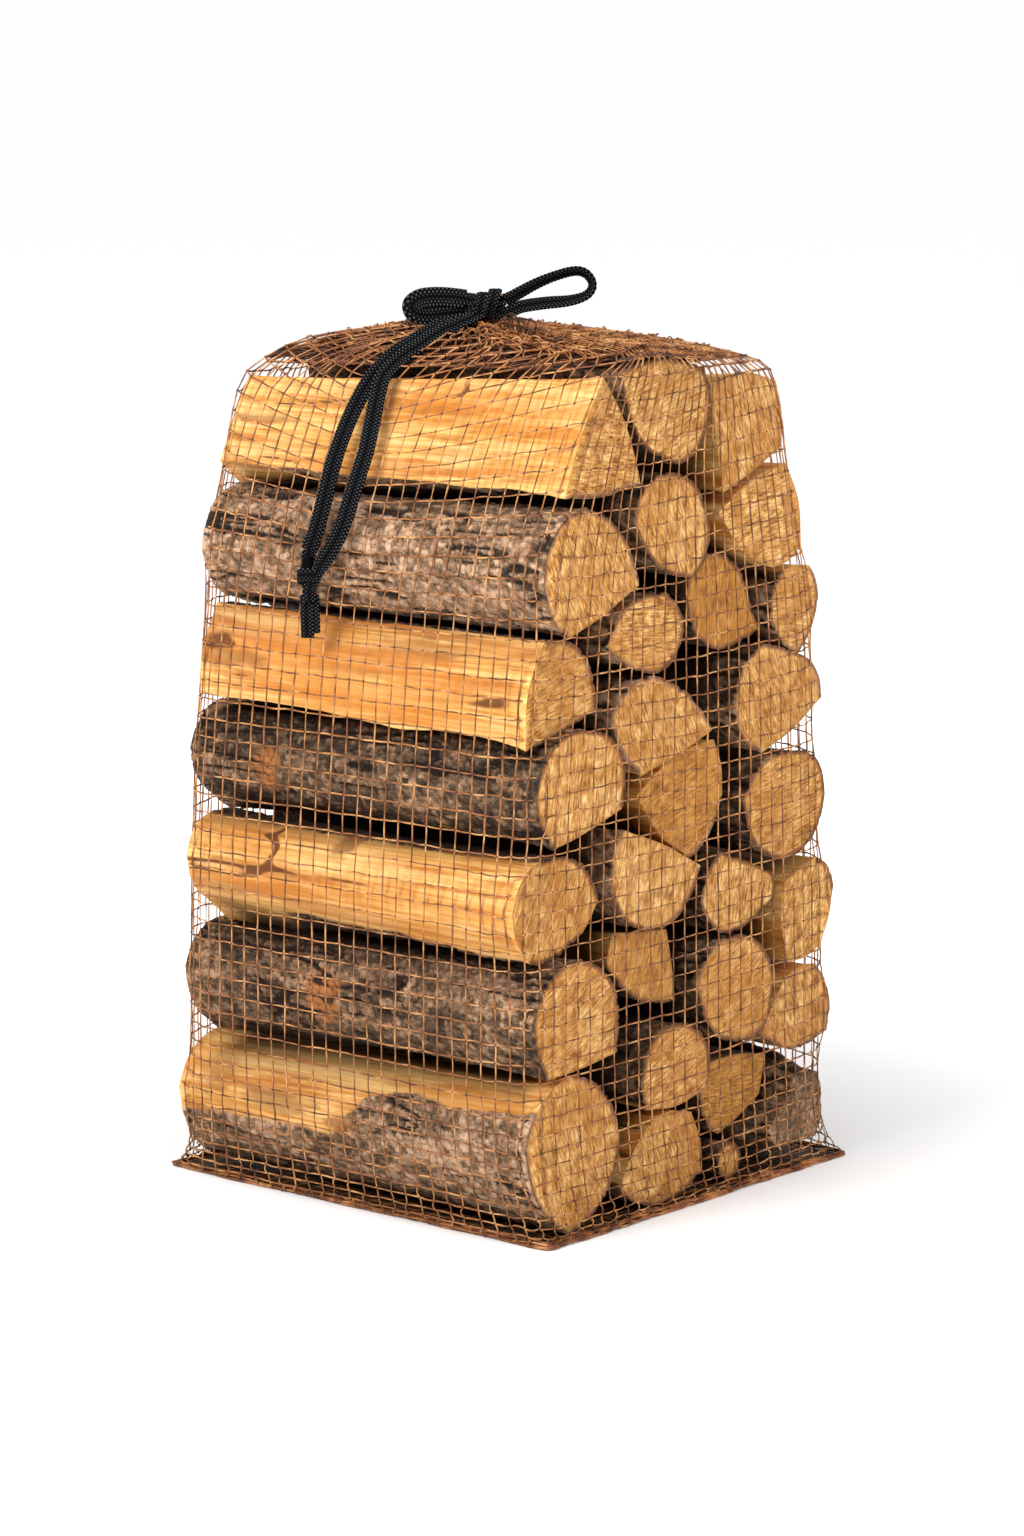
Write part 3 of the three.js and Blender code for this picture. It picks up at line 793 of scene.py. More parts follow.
def log_sections(node):
    """Array of stations x points x 3, from the far end to the near end, with the points of
    every section starting at the same arris. The middle of each sawn end is left out."""
    points = node_points(node)
    places, station = np.unique(points[:, 0].round(4), return_inverse=True)
    rings = [points[station == s] for s in range(len(places))]
    count = min(len(ring) for ring in rings)
    for s, ring in enumerate(rings):
        if len(ring) > count:
            middle = np.argmin(np.linalg.norm(ring - ring.mean(0), axis=1))
            ring = np.delete(ring, middle, axis=0)
        rings[s] = in_order(ring)
    pattern = shape_of(rings[len(rings) // 2])
    for s, ring in enumerate(rings):
        misfit = [np.abs(shape_of(np.roll(ring, k, axis=0)) - pattern).sum() for k in range(count)]
        rings[s] = np.roll(ring, int(np.argmin(misfit)), axis=0)
    return np.array(rings)


def turning(ring):
    """How far the outline turns at each point of a section."""
    ahead = np.roll(ring, -1, axis=0) - ring
    behind = ring - np.roll(ring, 1, axis=0)
    cross = behind[:, 1] * ahead[:, 2] - behind[:, 2] * ahead[:, 1]
    dot = behind[:, 1] * ahead[:, 1] + behind[:, 2] * ahead[:, 2]
    return np.arctan2(cross, dot)


LOGS = [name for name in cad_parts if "_log_" in name or name == "thin_branch"]
SECTIONS = {name: log_sections(name) for name in LOGS}
print(len(LOGS), "logs, with", {s.shape[1] for s in SECTIONS.values()}, "points a section")

# %% [markdown]
# ## The skin of a log
#
# A log's surface is one grid. Its columns run along the log, spaced evenly round the
# outline with one column on each arris. Its rows start in the middle of the far sawn end,
# go out to the rim, along the log, over the near rim and in to the middle of the near end.
# Relief then moves each point along the surface's own normal. The other way would be a
# displacement modifier, but the same heights also darken the fissures, so they are needed
# as numbers.

# %% The grid of a log
RIM = 0.5 * MM  # width of the rows that turn over the rim of a sawn end


def column_places(ring, spacing):
    """Parameters round an outline, a whole number of steps on each of its segments."""
    lengths = np.linalg.norm(np.roll(ring, -1, axis=0) - ring, axis=1)
    steps = np.maximum(1, np.round(lengths / spacing)).astype(int)
    return np.concatenate([k + np.arange(n) / n for k, n in enumerate(steps)])


def log_grid(sections, spacing):
    """Side points (rows x columns x 3), the outline's parameter of each column, and the
    corners. Sections are joined by a smooth curve along the log too."""
    widest = sections[len(sections) // 2]
    corners = turning(widest) > CORNER_TURN
    at = column_places(widest, spacing)
    rings = np.array([smooth_curve(ring, at, corners) for ring in sections])
    stations = sections[:, 0, 0]
    length = stations[-1] - stations[0]
    rows = int(length / spacing)
    x = np.concatenate([[0, RIM / length], np.linspace(0, 1, rows)[2:-2], [1 - RIM / length, 1]])
    x = stations[0] + length * x
    where = np.interp(x, stations, np.arange(len(stations)))
    side = smooth_curve(rings.reshape(len(rings), -1), where).reshape(len(x), len(at), 3)
    side[..., 0] = x[:, None]
    return side, at, corners


def surface_normals(side):
    """Unit normals of a side grid, from its slopes along and round the log."""
    along = np.gradient(side, axis=0)
    around = (np.roll(side, -1, axis=1) - np.roll(side, 1, axis=1)) / 2
    return unit(np.cross(around, along))


def round_distance(side):
    """Distance round the outline of each point from the first column, the same as a share
    of the girth there, and the mean girth."""
    steps = np.linalg.norm(np.roll(side, -1, axis=1) - side, axis=-1)
    distance = np.cumsum(steps, axis=1) - steps
    girth = steps.sum(1)
    return distance, distance / girth[:, None], girth.mean()

# %% [markdown]
# ## Bark, torn grain and saw marks
#
# Three surfaces meet on a log. Bark is broken into flakes a few millimetres across, and
# long fissures run through it. A split face shows torn fibres, long shallow steps and the
# odd drying crack. A sawn end is rough across the grain. Each is a depth below a skin that
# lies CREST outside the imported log, so a log keeps the place that the model gives it. What
# the depth knows goes to the material as masks: crack for recesses, flake for the shade of
# one flake, and stain for bare or resinous patches. The noise is stretched: its sizes are
# given in metres along the log, across it and upwards.


# %% Three reliefs
def bark_relief(side, share_round, girth, seed):
    """Depth of bark: long bands where a stretched noise crosses zero are fissures 2.6 mm
    deep, the gaps between noise cells are 0.7 mm deep, each cell lies up to 0.6 mm deeper
    than the highest, broad noise sways it all by 1.1 mm, and grit roughens it."""
    ridge = np.abs(layered_noise(side / [0.085, 0.011, 0.011], seed, layers=3))
    opened = ramp(smooth_noise(side / [0.050, 0.020, 0.020], seed + 9), -0.55, 0.0)
    fissure = (1 - ramp(ridge, 0.02, 0.13)) * opened
    wander = smooth_noise(side / 0.006, seed + 3)
    wrap = max(6, round(girth / 0.0046))
    _, gap, number = cell_noise(
        side[..., 0] / 0.0052 + 0.35 * wander,
        share_round * wrap + 0.35 * smooth_noise(side / 0.005, seed + 4),
        wrap, seed + 5,
    )
    flake = ramp(gap, 0.03, 0.32)
    sway = 0.5 + 0.5 * layered_noise(side / [0.035, 0.018, 0.018], seed + 7, layers=3)
    grit = 0.5 + 0.5 * layered_noise(side / 0.0025, seed + 8, layers=2)
    depth = 2.6 * fissure + 0.7 * (1 - flake) + 0.6 * (1 - number) + 1.1 * sway + 0.35 * grit
    return depth * MM, np.clip(fissure + 0.6 * (1 - flake), 0, 1), number


def split_relief(side, seed):
    """Depth of a split face: fibres a few tenths of a millimetre deep, a staircase made
    from a broad noise, and narrow cracks where another noise crosses zero."""
    fibre = 0.5 + 0.5 * layered_noise(side / [0.100, 0.0040, 0.0040], seed, layers=4)
    broad = 1.9 * layered_noise(side / [0.130, 0.022, 0.022], seed + 3, layers=3)
    stair = np.floor(broad) + ramp(broad - np.floor(broad), 0.30, 0.70)
    zero = np.abs(smooth_noise(side / [0.110, 0.013, 0.013], seed + 5))
    crack = (1 - ramp(zero, 0.008, 0.05)) * ramp(smooth_noise(side / 0.05, seed + 6), 0.15, 0.5)
    depth = 0.55 * fibre + 0.55 * (stair + 2) * 0.8 + 1.2 * crack
    return depth * MM, np.clip(crack + 0.25 * (1 - fibre), 0, 1), fibre


def sawn_relief(y, z, angle, seed):
    """Depth of a sawn end: short strokes across the face in the direction of the saw. Also
    their shade, and the places of the points along and across the strokes."""
    along = y * math.cos(angle) + z * math.sin(angle)
    across = z * math.cos(angle) - y * math.sin(angle)
    strokes = np.stack([along / 0.011, across / 0.0019], -1)
    stroke = 0.5 + 0.5 * layered_noise(strokes, seed, layers=2)
    broad = 0.5 + 0.5 * layered_noise(np.stack([y, z], -1) / 0.02, seed + 2, layers=2)
    return (0.5 * stroke + 0.2 * broad) * MM, 0.6 * stroke + 0.4 * broad, along, across


# %% [markdown]
# ## Which side is bark
#
# A round side is bark and a flat one is split wood, as on real split logs. Some logs in
# the front column show more than that: bark knocked off in a patch, a knot, a dark resin
# streak, or on the bottom log a whole strip of bare wood with a torn lower edge. Those
# are written as places on the front face, x and z in millimetres.

# %% Marks on the front logs
BARK_TURN = math.radians(30)
MARKS = {  # x, z, half length, half height, how strong; all but the last in millimetres
    "front_log_1": [(-55, 54, 32, 8, 0.75), (-8, 47, 14, 5, 0.9), (-100, 62, 12, 12, 0.4)],
    "front_log_2": [(-24, 117, 14, 15, 1.0)],
    "front_log_3": [(-7, 207, 9, 6, 1.0), (-60, 186, 55, 4, 0.5), (-90, 170, 30, 4, 0.45)],
    "front_log_4": [(-68, 241, 10, 15, 0.9)],
    "front_log_5": [(-96, 303, 32, 6, 0.8), (45, 320, 38, 5, 0.55), (0, 303, 40, 3, 0.4)],
    "front_log_7": [(-104, 433, 24, 3, 0.9), (0, 446, 60, 3, 0.35), (60, 425, 50, 3, 0.3)],
}
# The torn edge between bare wood above and bark below, on the front of the bottom log
TORN_EDGE = np.array([
    (-130, 39), (-80, 41), (-37, 43), (-14, 41), (-2, 52),
    (14, 68), (40, 74), (70, 72), (100, 74), (136, 76),
])
BARE_FRONTS = ("front_log_3", "front_log_5", "front_log_7")
BARK_FRONTS = ("front_log_2", "front_log_4", "front_log_6")
ALL_BARK = ("middle_log_9", "back_log_1")


def side_numbers(corners, count):
    """For each point of a section, the number of the side that starts at or before it."""
    if not corners.any():
        return np.zeros(count, int)
    return (np.cumsum(corners) - 1) % corners.sum()


def bark_columns(sections, at, corners):
    """1 for each column on a side that turns more than BARK_TURN, and 0 for the others."""
    ring = sections[len(sections) // 2]
    bend = np.where(corners, 0, turning(ring))
    side = side_numbers(corners, len(ring))
    total = np.bincount(side, bend)
    return (total[side[np.floor(at).astype(int)]] > BARK_TURN).astype(float)


def bark_mask(name, side, normals, sections, at, corners):
    """Where a log's side is bark: 1, and where it is bare wood: 0."""
    mask = np.broadcast_to(bark_columns(sections, at, corners), side.shape[:2]).copy()
    front = ramp(-normals[..., 1], 0.1, 0.3)
    if name in BARE_FRONTS:
        under = ramp(-normals[..., 2], 0.80, 0.86)
        mask = mask * (1 - front) * (1 - under) + under
    if name in ALL_BARK:
        mask = np.ones_like(mask)
    if name in BARK_FRONTS:
        mask = np.maximum(mask, front)
    if name == "front_log_1":
        edge = np.interp(side[..., 0], *(TORN_EDGE * MM).T)
        ragged = 1.6 * MM * layered_noise(side / [0.012, 0.006, 0.006], 5)
        mask = np.where(normals[..., 1] < 0, ramp(edge + ragged - side[..., 2], 0, 0.9 * MM), mask)
    return mask


def mark_mask(name, side, normals, seed):
    """Soft-edged patches on the front of a log, as strong as MARKS says."""
    total = np.zeros(side.shape[:2])
    ragged = 1 + 0.45 * layered_noise(side / [0.012, 0.005, 0.005], seed, layers=3)
    for x, z, long, high, strength in MARKS.get(name, []):
        aside = (side[..., 0] - x * MM) / (long * MM)
        above = (side[..., 2] - z * MM) / (high * MM)
        reach = np.hypot(aside, above)
        total = np.maximum(total, strength * (1 - ramp(reach * ragged, 0.55, 1.15)))
    return total * ramp(-normals[..., 1], 0.0, 0.2)

# %% [markdown]
# ## Wood, bark and sawn ends as materials
#
# The masks in the mesh say where a fissure or a flake is; the material gives it colour and
# the grain that is too fine for the mesh. Each finish is a node group with the masks as
# inputs and a colour and a height as outputs, so that every log can use all three and have
# its own tone. One painted picture per log would look as good from one side, but would
# have to be redrawn for each log.


# %% Groups with a colour and a height
GIVEN = {"Crack": 0, "Flake": 0.5, "Stain": 0, "Tone": 0.5}


def new_group(name):
    """An empty group with the masks and a tone as inputs, and a colour and a height as
    outputs, with its own inputs and coordinates at hand."""
    group = bpy.data.node_groups.new(name, "ShaderNodeTree")
    for label, value in GIVEN.items():
        socket = group.interface.new_socket(label, in_out="INPUT", socket_type="NodeSocketFloat")
        socket.default_value = value
    for label, kind in (("Color", "Color"), ("Height", "Float")):
        group.interface.new_socket(label, in_out="OUTPUT", socket_type="NodeSocket" + kind)
    given = group.nodes.new("NodeGroupInput").outputs
    place = group.nodes.new("ShaderNodeTexCoord").outputs
    return group, given, place


def close_group(group, colour, height=0.0):
    """Connects the outputs of a group."""
    leave = group.nodes.new("NodeGroupOutput")
    wire(group, colour, leave.inputs["Color"])
    wire(group, height, leave.inputs["Height"])
    return group


# %% The look of bark
def bark_group():
    """Flakes in shades from dark brown to pinkish tan, black fissures, orange bare spots."""
    group, given, place = new_group("bark_look")
    spots = noise(group, place["Object"], (230, 330, 330), 5.0, 0.65)
    grit = noise(group, place["Object"], (900, 1100, 1100), 3.0, 0.6)
    broad = noise(group, place["Object"], (18, 40, 40), 3.0)
    shade = maths(group, "MULTIPLY_ADD", given["Flake"], 0.26, maths(group, "MULTIPLY", spots, 0.86))
    shade = maths(group, "ADD", shade, maths(group, "MULTIPLY_ADD", broad, 0.55, -0.30))
    shade = maths(group, "ADD", shade, maths(group, "MULTIPLY_ADD", given["Tone"], 0.2, -0.10))
    colour = colour_ramp(group, shade, [
        (0.24, srgb(30, 22, 16)), (0.38, srgb(72, 55, 40)), (0.50, srgb(110, 85, 62)),
        (0.62, srgb(154, 120, 92)), (0.78, srgb(202, 166, 134)),
    ])
    colour = glaze(group, colour, grit, 0.60, 0.72, 0.30, srgb(190, 160, 132))
    bare = blend_colours(group, spots, srgb(148, 78, 30), srgb(214, 140, 74))
    colour = blend_colours(group, maths(group, "MULTIPLY", given["Stain"], 0.85), colour, bare)
    # Fissures and the gaps between flakes are darkened nearly to black: partly the bark's own dark
    # colour, partly painted shade in these recesses.
    colour = glaze(group, colour, given["Crack"], 0.12, 0.95, 0.93, srgb(20, 14, 11))
    return close_group(group, colour, maths(group, "MULTIPLY_ADD", grit, 0.35, spots))


# %% The look of split wood
def split_group():
    """Pale yellow wood with long grain, orange bands, and brown cracks and stains."""
    group, given, place = new_group("split_look")
    grain = noise(group, place["Object"], (14, 420, 420), 6.0, 0.6)
    streak = noise(group, place["Object"], (7, 110, 110), 4.0, 0.6)
    broad = noise(group, place["Object"], (9, 38, 38), 3.0)
    colour = colour_ramp(group, grain, [
        (0.26, srgb(168, 102, 38)), (0.42, srgb(216, 152, 74)),
        (0.56, srgb(238, 186, 110)), (0.78, srgb(252, 220, 158)),
    ])
    colour = glaze(group, colour, streak, 0.50, 0.62, 0.80, srgb(186, 106, 30))
    colour = glaze(group, colour, grain, 0.60, 0.70, 0.45, srgb(150, 84, 26))
    colour = glaze(group, colour, broad, 0.48, 0.62, 0.62, srgb(206, 128, 44))
    colour = glaze(group, colour, given["Flake"], 0.45, 0.95, 0.28, srgb(252, 216, 146))
    stain = maths(group, "MULTIPLY", given["Stain"], maths(group, "MULTIPLY_ADD", grain, 1.1, 0.05))
    colour = blend_colours(group, stain, colour, srgb(112, 58, 20))
    # Cracks are darkened brown: partly the wood's own colour in them, partly painted shade.
    colour = glaze(group, colour, given["Crack"], 0.24, 0.85, 0.88, srgb(92, 48, 18))
    return close_group(group, colour, maths(group, "MULTIPLY_ADD", streak, 0.5, grain))


# %% The look of a sawn end
def sawn_group():
    """Golden tan with short strokes of the saw, dark pores, and tone from golden to brown.
    It has no height: a sawn end has the fine relief of split wood."""
    group, given, place = new_group("sawn_look")
    strokes = noise(group, place["UV"], (120, 760, 1), 4.0, 0.65)
    pores = noise(group, place["UV"], (420, 1100, 1), 3.0, 0.6)
    mottle = noise(group, place["Object"], (60, 120, 120), 4.0, 0.6)
    patch = noise(group, place["Object"], (26, 34, 34), 3.0)
    shade = maths(group, "MULTIPLY_ADD", strokes, 0.60, maths(group, "MULTIPLY", mottle, 0.40))
    colour = colour_ramp(group, shade, [
        (0.39, srgb(118, 70, 26)), (0.46, srgb(178, 120, 54)),
        (0.53, srgb(214, 160, 88)), (0.61, srgb(246, 208, 140)),
    ])
    colour = glaze(group, colour, given["Flake"], 0.45, 0.8, 0.25, srgb(246, 208, 140))
    colour = glaze(group, colour, patch, 0.46, 0.62, 0.50, srgb(180, 116, 44))
    colour = glaze(group, colour, pores, 0.56, 0.66, 0.60, srgb(104, 58, 20))
    weathered = colour_ramp(group, shade, [(0.34, srgb(116, 64, 14)), (0.66, srgb(206, 140, 52))])
    colour = blend_colours(group, given["Tone"], colour, weathered)
    colour = glaze(group, colour, given["Crack"], 0.05, 0.5, 0.70, srgb(104, 56, 24))
    return close_group(group, colour)


BARK_LOOK = bark_group()
SPLIT_LOOK = split_group()
SAWN_LOOK = sawn_group()

# %% The material of one log
# How brown a sawn end is, from 0 for fresh golden wood to 1 for weathered wood
END_TONES = {
    "middle_log_5": 0.75, "middle_log_3": 0.65, "back_log_10": 0.85, "back_log_2": 0.70,
    "back_log_7": 0.30, "front_log_3": 0.35, "front_log_5": 0.30, "back_log_8": 0.35,
}
GRAIN_HEIGHT = 0.5 * MM
TONE_STEP = 5.3  # radians of a sine from one log to the next, so that neighbours differ


def log_material(name, number):
    """Bark, split wood and sawn wood in one material, divided by the mesh's masks."""
    material, tree, shader = new_material(name + "_finish")
    masks = {key: mask_of(tree, key.lower()) for key in ("Crack", "Flake", "Stain")}
    tone = 0.5 + 0.5 * math.sin(TONE_STEP * number)
    end_tone = END_TONES.get(name, 0.12 * tone)
    looks = []
    for group, own_tone in ((SPLIT_LOOK, tone), (SAWN_LOOK, end_tone), (BARK_LOOK, tone)):
        node = tree.nodes.new("ShaderNodeGroup")
        node.node_tree = group
        for key, value in masks.items():
            tree.links.new(value, node.inputs[key])
        node.inputs["Tone"].default_value = own_tone
        looks.append(node.outputs)
    split, sawn, bark = looks
    is_sawn = mask_of(tree, "sawn")
    is_bark = mask_of(tree, "bark")
    colour = blend_colours(tree, is_sawn, split["Color"], sawn["Color"])
    colour = blend_colours(tree, is_bark, colour, bark["Color"])
    height = maths(tree, "ADD", split["Height"], maths(tree, "MULTIPLY", bark["Height"], is_bark))
    # Painted shade: the sides of a log deep inside the stack are blended nearly to black, as where
    # little light reaches between the logs.
    dark = maths(tree, "MULTIPLY", mask_of(tree, "shade"), 0.93)
    colour = blend_colours(tree, dark, colour, srgb(30, 12, 5))
    wire(tree, colour, shader.inputs["Base Color"])
    wire(tree, maths(tree, "MULTIPLY_ADD", is_bark, 0.2, 0.66), shader.inputs["Roughness"])
    add_bump(tree, shader, height, GRAIN_HEIGHT, 0.8)
    shader.inputs["Specular IOR Level"].default_value = 0.25
    return material


print("finishes", [g.name for g in bpy.data.node_groups])

# %% [markdown]
# ## The bag's levels
#
# The bag is described level by level, from its hem to the frill above the drawstring. Each
# level is a rectangle with round corners, as height, front, back, far end, near end, corner
# radius, and how far the far end and the back are lower than the rest. The net is knotted
# on these levels, and the logs use them too: what lies deep inside the stack gets no light,
# and painted shade makes it nearly black.

# %% The levels of the bag, in millimetres
NET_LEVELS = [
    (1, -127, 144, -142, 142, 4, 0, 0), (5, -130, 143, -138, 140, 7, 0, 0),
    (18, -138, 144, -133, 138, 8, 0, 0), (55, -144, 144, -132, 138, 8, 0, 0),
    (100, -142, 143, -132, 138, 8, 0, 0), (150, -141, 142, -132, 138, 8, 0, 0),
    (186, -144, 141, -131, 138, 8, 0, 0), (225, -140, 136, -130, 138, 8, 0, 0),
    (285, -135, 133, -129, 138, 8, 0, 0), (345, -131, 130, -126, 138, 8, 0, 0),
    (372, -129, 120, -126, 138, 8, 0, 0), (412, -113, 100, -126, 138, 8, 1, 0),
    (440, -98, 94, -126, 138, 7, 8, 0), (469, -81, 88, -126, 138, 6, 14, 9),
    (481, -62, 22, -102, 138, 8, 8, 2), (485, -46, 12, -60, 84, 20, 3, 0),
]
NECK_LEVELS = [(489.5, 10), (491, 7.5), (500, 7), (503, 9)]  # height and radius
SHOULDER = 10  # the level from which the net leans in over the stack
COLUMNS_PER_SIDE = (27, 26, 27, 26)  # near end, back, far end, front
CELL = 10.5 * MM
HEM_ROWS = (0, 2.2, 4.6, 7.4, 11, 16, 23, 31.5)  # how far up the net the lowest rows lie
ROWS_OVER_TOP = 19
ROWS_OF_NECK = 4
THREAD = 0.95 * MM
STAND_OFF = 0.9 * MM  # from a log to the middle of a thread
NET_FLOOR = 0.7 * MM  # the least height of a crossing
NEAR_PLANE, FAR_PLANE, TOP_PLANE = 0.138, -0.130, 0.474
# SHALLOW and DEEP set the painted shade on the logs' sides, from none to nearly black.
SHALLOW = 8 * MM  # wood is darkened from this depth inside the stack
DEEP = 36 * MM  # and is nearly black from this one


# %% How deep inside the stack a point lies, for the painted shade
def painted_shade_from_depth(points):
    """How much painted shade a point gets: 0 near the bag's surface and 1 more than DEEP inside
    it. The depth is the least of the distances to the two end planes, to the top, and to the
    front and the back at that height."""
    table = np.array(NET_LEVELS)[:, :5] * MM
    x, y, z = points[..., 0], points[..., 1], points[..., 2]
    front = np.interp(z, table[:, 0], table[:, 1])
    back = np.interp(z, table[:, 0], table[:, 2])
    depth = np.minimum.reduce([
        NEAR_PLANE - x, x - FAR_PLANE, y - front, back - y, TOP_PLANE - z,
    ])
    return ramp(depth, SHALLOW, DEEP)

# %% [markdown]
# ## Building the logs
#
# The front column is seen from close by, so its grid is fine enough for a flake of bark to
# have several faces. The other logs show little but their sawn ends, and a coarser grid
# does for their sides. Both ends are rings that shrink from the displaced rim to the
# middle, so that the ragged edge of the bark is the edge of the sawn face too.

# %% One log, from its sections to a closed mesh
FRONT_SPACING = 1.25 * MM
INNER_SPACING = 2.3 * MM
END_SPACING = 1.3 * MM
BARK_THICKNESS = 2.8 * MM
BARE_STEP = BARK_THICKNESS * 0.6  # how much deeper the bottom log's bare strip lies
STAIN_DEPTH = 1.0 * MM
CREST = 0.8 * MM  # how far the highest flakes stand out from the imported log
CALM = 7 * MM  # over this length the relief fades towards a log's ends
SAW_MARGIN = 3 * MM  # and over this one the saw marks fade towards the rim
LOWEST_WOOD = 0.4 * MM
TORN_WAVE = 2.0 * MM
TORN_REACH = 20 * MM
# Some undersides stand out, so that less light comes through between them and the log below.
UNDER_SWELL = {"front_log_2": 1.8 * MM, "front_log_6": 1.8 * MM, "back_log_4": 4.0 * MM}
BARK_ENDED = ("back_log_1",)  # its near end is a broken one, covered by bark


def torn_edge(name, side, seed):
    """The lower edge of a bare front, torn in waves: up to TORN_WAVE up or down along the
    log, for the points within TORN_REACH of the log's lowest ones."""
    if name not in BARE_FRONTS:
        return side
    low = side[..., 2].min(1, keepdims=True)
    wave = layered_noise(np.stack([side[..., 0] / 0.034, 0 * side[..., 0] + seed], -1), seed, 3)
    side = side.copy()
    side[..., 2] += TORN_WAVE * wave * (1 - ramp(side[..., 2] - low, 0, TORN_REACH))
    return side


def end_cap(rim, angle, seed, facing, mask):
    """Rings from just inside the rim to the middle of a sawn end, displaced inwards, with
    their masks. facing is +1 for the near end and -1 for the far end."""
    middle = rim.mean(0)
    reach = np.linalg.norm(rim - middle, axis=1)
    count = max(6, int(reach.mean() / END_SPACING))
    share = (np.arange(count, 0, -1) - 0.5) / count
    share = np.concatenate([[1 - RIM / reach.mean()], share[1:]])[:, None]
    rings = middle + (rim - middle) * share[..., None]
    from_rim = (1 - share) * reach
    depth, stroke, along, across = sawn_relief(rings[..., 1], rings[..., 2], angle, seed)
    rings[..., 0] -= facing * depth * (np.minimum(from_rim, SAW_MARGIN) / SAW_MARGIN)
    bark = mask * (1 - ramp(from_rim, BARK_THICKNESS * 0.7, BARK_THICKNESS))
    masks = {
        "bark": bark,
        "sawn": np.ones_like(bark),
        "crack": 0.35 * bark + 0.5 * (1 - ramp(from_rim, 0, 1.2 * MM)),
        "flake": stroke,
        "stain": 0.6 * bark,
        "shade": np.zeros_like(bark),
        "u": along,
        "v": across,
    }
    return rings, masks


def build_log(name, number, spacing, material):
    """A closed log with relief: rows from the far pole over the side to the near pole."""
    sections = SECTIONS[name]
    side, at, corners = log_grid(sections, spacing)
    side = torn_edge(name, side, 3 * number)
    normals = surface_normals(side)
    distance, share_round, girth = round_distance(side)
    seed = 100 + 31 * number
    mask = bark_mask(name, side, normals, sections, at, corners)
    bark_depth, bark_crack, flake = bark_relief(side, share_round, girth, seed)
    split_depth, split_crack, fibre = split_relief(side, seed + 50)
    stain = mark_mask(name, side, normals, seed + 70)
    bare_step = BARE_STEP * (name == "front_log_1")
    depth = mask * bark_depth * (1 - 0.6 * stain) + (1 - mask) * (split_depth + bare_step)
    from_end = np.minimum(side[..., 0] - side[0, 0, 0], side[-1, 0, 0] - side[..., 0])
    calm = 0.35 + 0.65 * ramp(from_end, 0, CALM)
    depth = (depth + stain * STAIN_DEPTH) * calm - CREST
    depth = depth - UNDER_SWELL.get(name, 0) * ramp(-normals[..., 2], 0.35, 0.85)
    side = side - normals * depth[..., None]
    side[..., 2] = np.maximum(side[..., 2], LOWEST_WOOD)
    angle = 0.6 + 1.1 * math.sin(2.7 * number)
    far_cap, far_masks = end_cap(side[0], angle, seed + 80, -1, mask[0])
    near_cap, near_masks = end_cap(side[-1], angle + 0.4, seed + 90, 1, mask[-1])
    if name in BARK_ENDED:
        plain = 0 * near_masks["bark"]
        near_masks.update(bark=1 + plain, stain=plain, crack=0.5 * near_masks["flake"] ** 2)
    side_masks = {
        "bark": mask,
        "sawn": np.zeros_like(mask),
        "crack": mask * bark_crack + (1 - mask) * split_crack,
        "flake": mask * flake + (1 - mask) * fibre,
        "stain": stain,
        # painted shade, darker deeper in the stack; the sawn ends get none
        "shade": painted_shade_from_depth(side),
        "u": side[..., 0],
        "v": distance,
    }
    grid = np.concatenate([far_cap[::-1], side, near_cap])
    values = {
        key: np.concatenate([far_masks[key][::-1], side_masks[key], near_masks[key]])
        for key in side_masks
    }
    poles = [grid[0].mean(0), grid[-1].mean(0)]
    points = np.concatenate([poles[:1], grid.reshape(-1, 3), poles[1:]])
    points[:, 2] = np.maximum(points[:, 2], LOWEST_WOOD)
    flat = {
        key: np.concatenate([[v[0].mean()], v.ravel(), [v[-1].mean()]])
        for key, v in values.items()
    }
    uv = np.stack([flat.pop("u"), flat.pop("v")], -1)
    faces = closed_grid_faces(len(grid) + 2, grid.shape[1])
    log = new_mesh(name + "_wood", points, faces, material, flat, uv)
    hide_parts(name)
    return log


for number, name in enumerate(LOGS):
    spacing = FRONT_SPACING if name.startswith("front") else INNER_SPACING
    build_log(name, number, spacing, log_material(name, number))

# %% [markdown]
# ## The net
#
# The bag is a knotted net of thin plastic thread with square cells of about 10 mm. It is
# pulled tight round the stack, so it is flat where it bridges from log to log. At the
# bottom it is folded under and bunched, and above the stack it gathers into the neck, with
# more of it folded in below. It is modelled thread by thread. A picture of a net on a
# sheet would be lighter, but would look painted on where the net stands clear of the wood,
# and would throw no shadow.
#
# The crossings form one grid: columns go round the bag and rows go up it, from the hem to
# the frill above the drawstring.

# %% The grid of crossings
def level_ring(level):
    """Points of one level, evenly from the middle of each corner to the next. A stretch is
    an eighth of a circle, a straight side, and another eighth."""
    z, front, back, far, near, radius, far_drop, back_drop = level
    centres = [
        (near - radius, front + radius), (near - radius, back - radius),
        (far + radius, back - radius), (far + radius, front + radius),
    ]
    parts = []
    for k, count in enumerate(COLUMNS_PER_SIDE):
        start = np.array(centres[k])
        end = np.array(centres[(k + 1) % 4])
        straight = np.linalg.norm(end - start)
        eighth = np.pi * radius / 4
        s = np.arange(count) / count * (straight + 2 * eighth)
        t = np.clip((s - eighth) / straight, 0, 1)
        bend = np.clip(s, 0, eighth) + np.clip(s - eighth - straight, 0, eighth)
        angle = math.radians(-45 + 90 * k) + bend / radius
        spoke = radius * np.stack([np.cos(angle), np.sin(angle)], -1)
        parts.append(start + (end - start) * t[:, None] + spoke)
    x, y = np.concatenate(parts).T
    lean = far_drop * (near - x) / (near - far) + back_drop * (y - front) / (back - front)
    return np.stack([x, y, z - lean], -1) * MM


def neck_ring(z, radius):
    """One level of the neck, a circle with its columns in the same order."""
    turns = [k + np.arange(count) / count for k, count in enumerate(COLUMNS_PER_SIDE)]
    angle = np.radians(-45 + 90 * np.concatenate(turns))
    x = neck_middle[0] + radius * MM * np.cos(angle)
    y = neck_middle[1] + radius * MM * np.sin(angle)
    return np.stack([x, y, 0 * x + z * MM], -1)


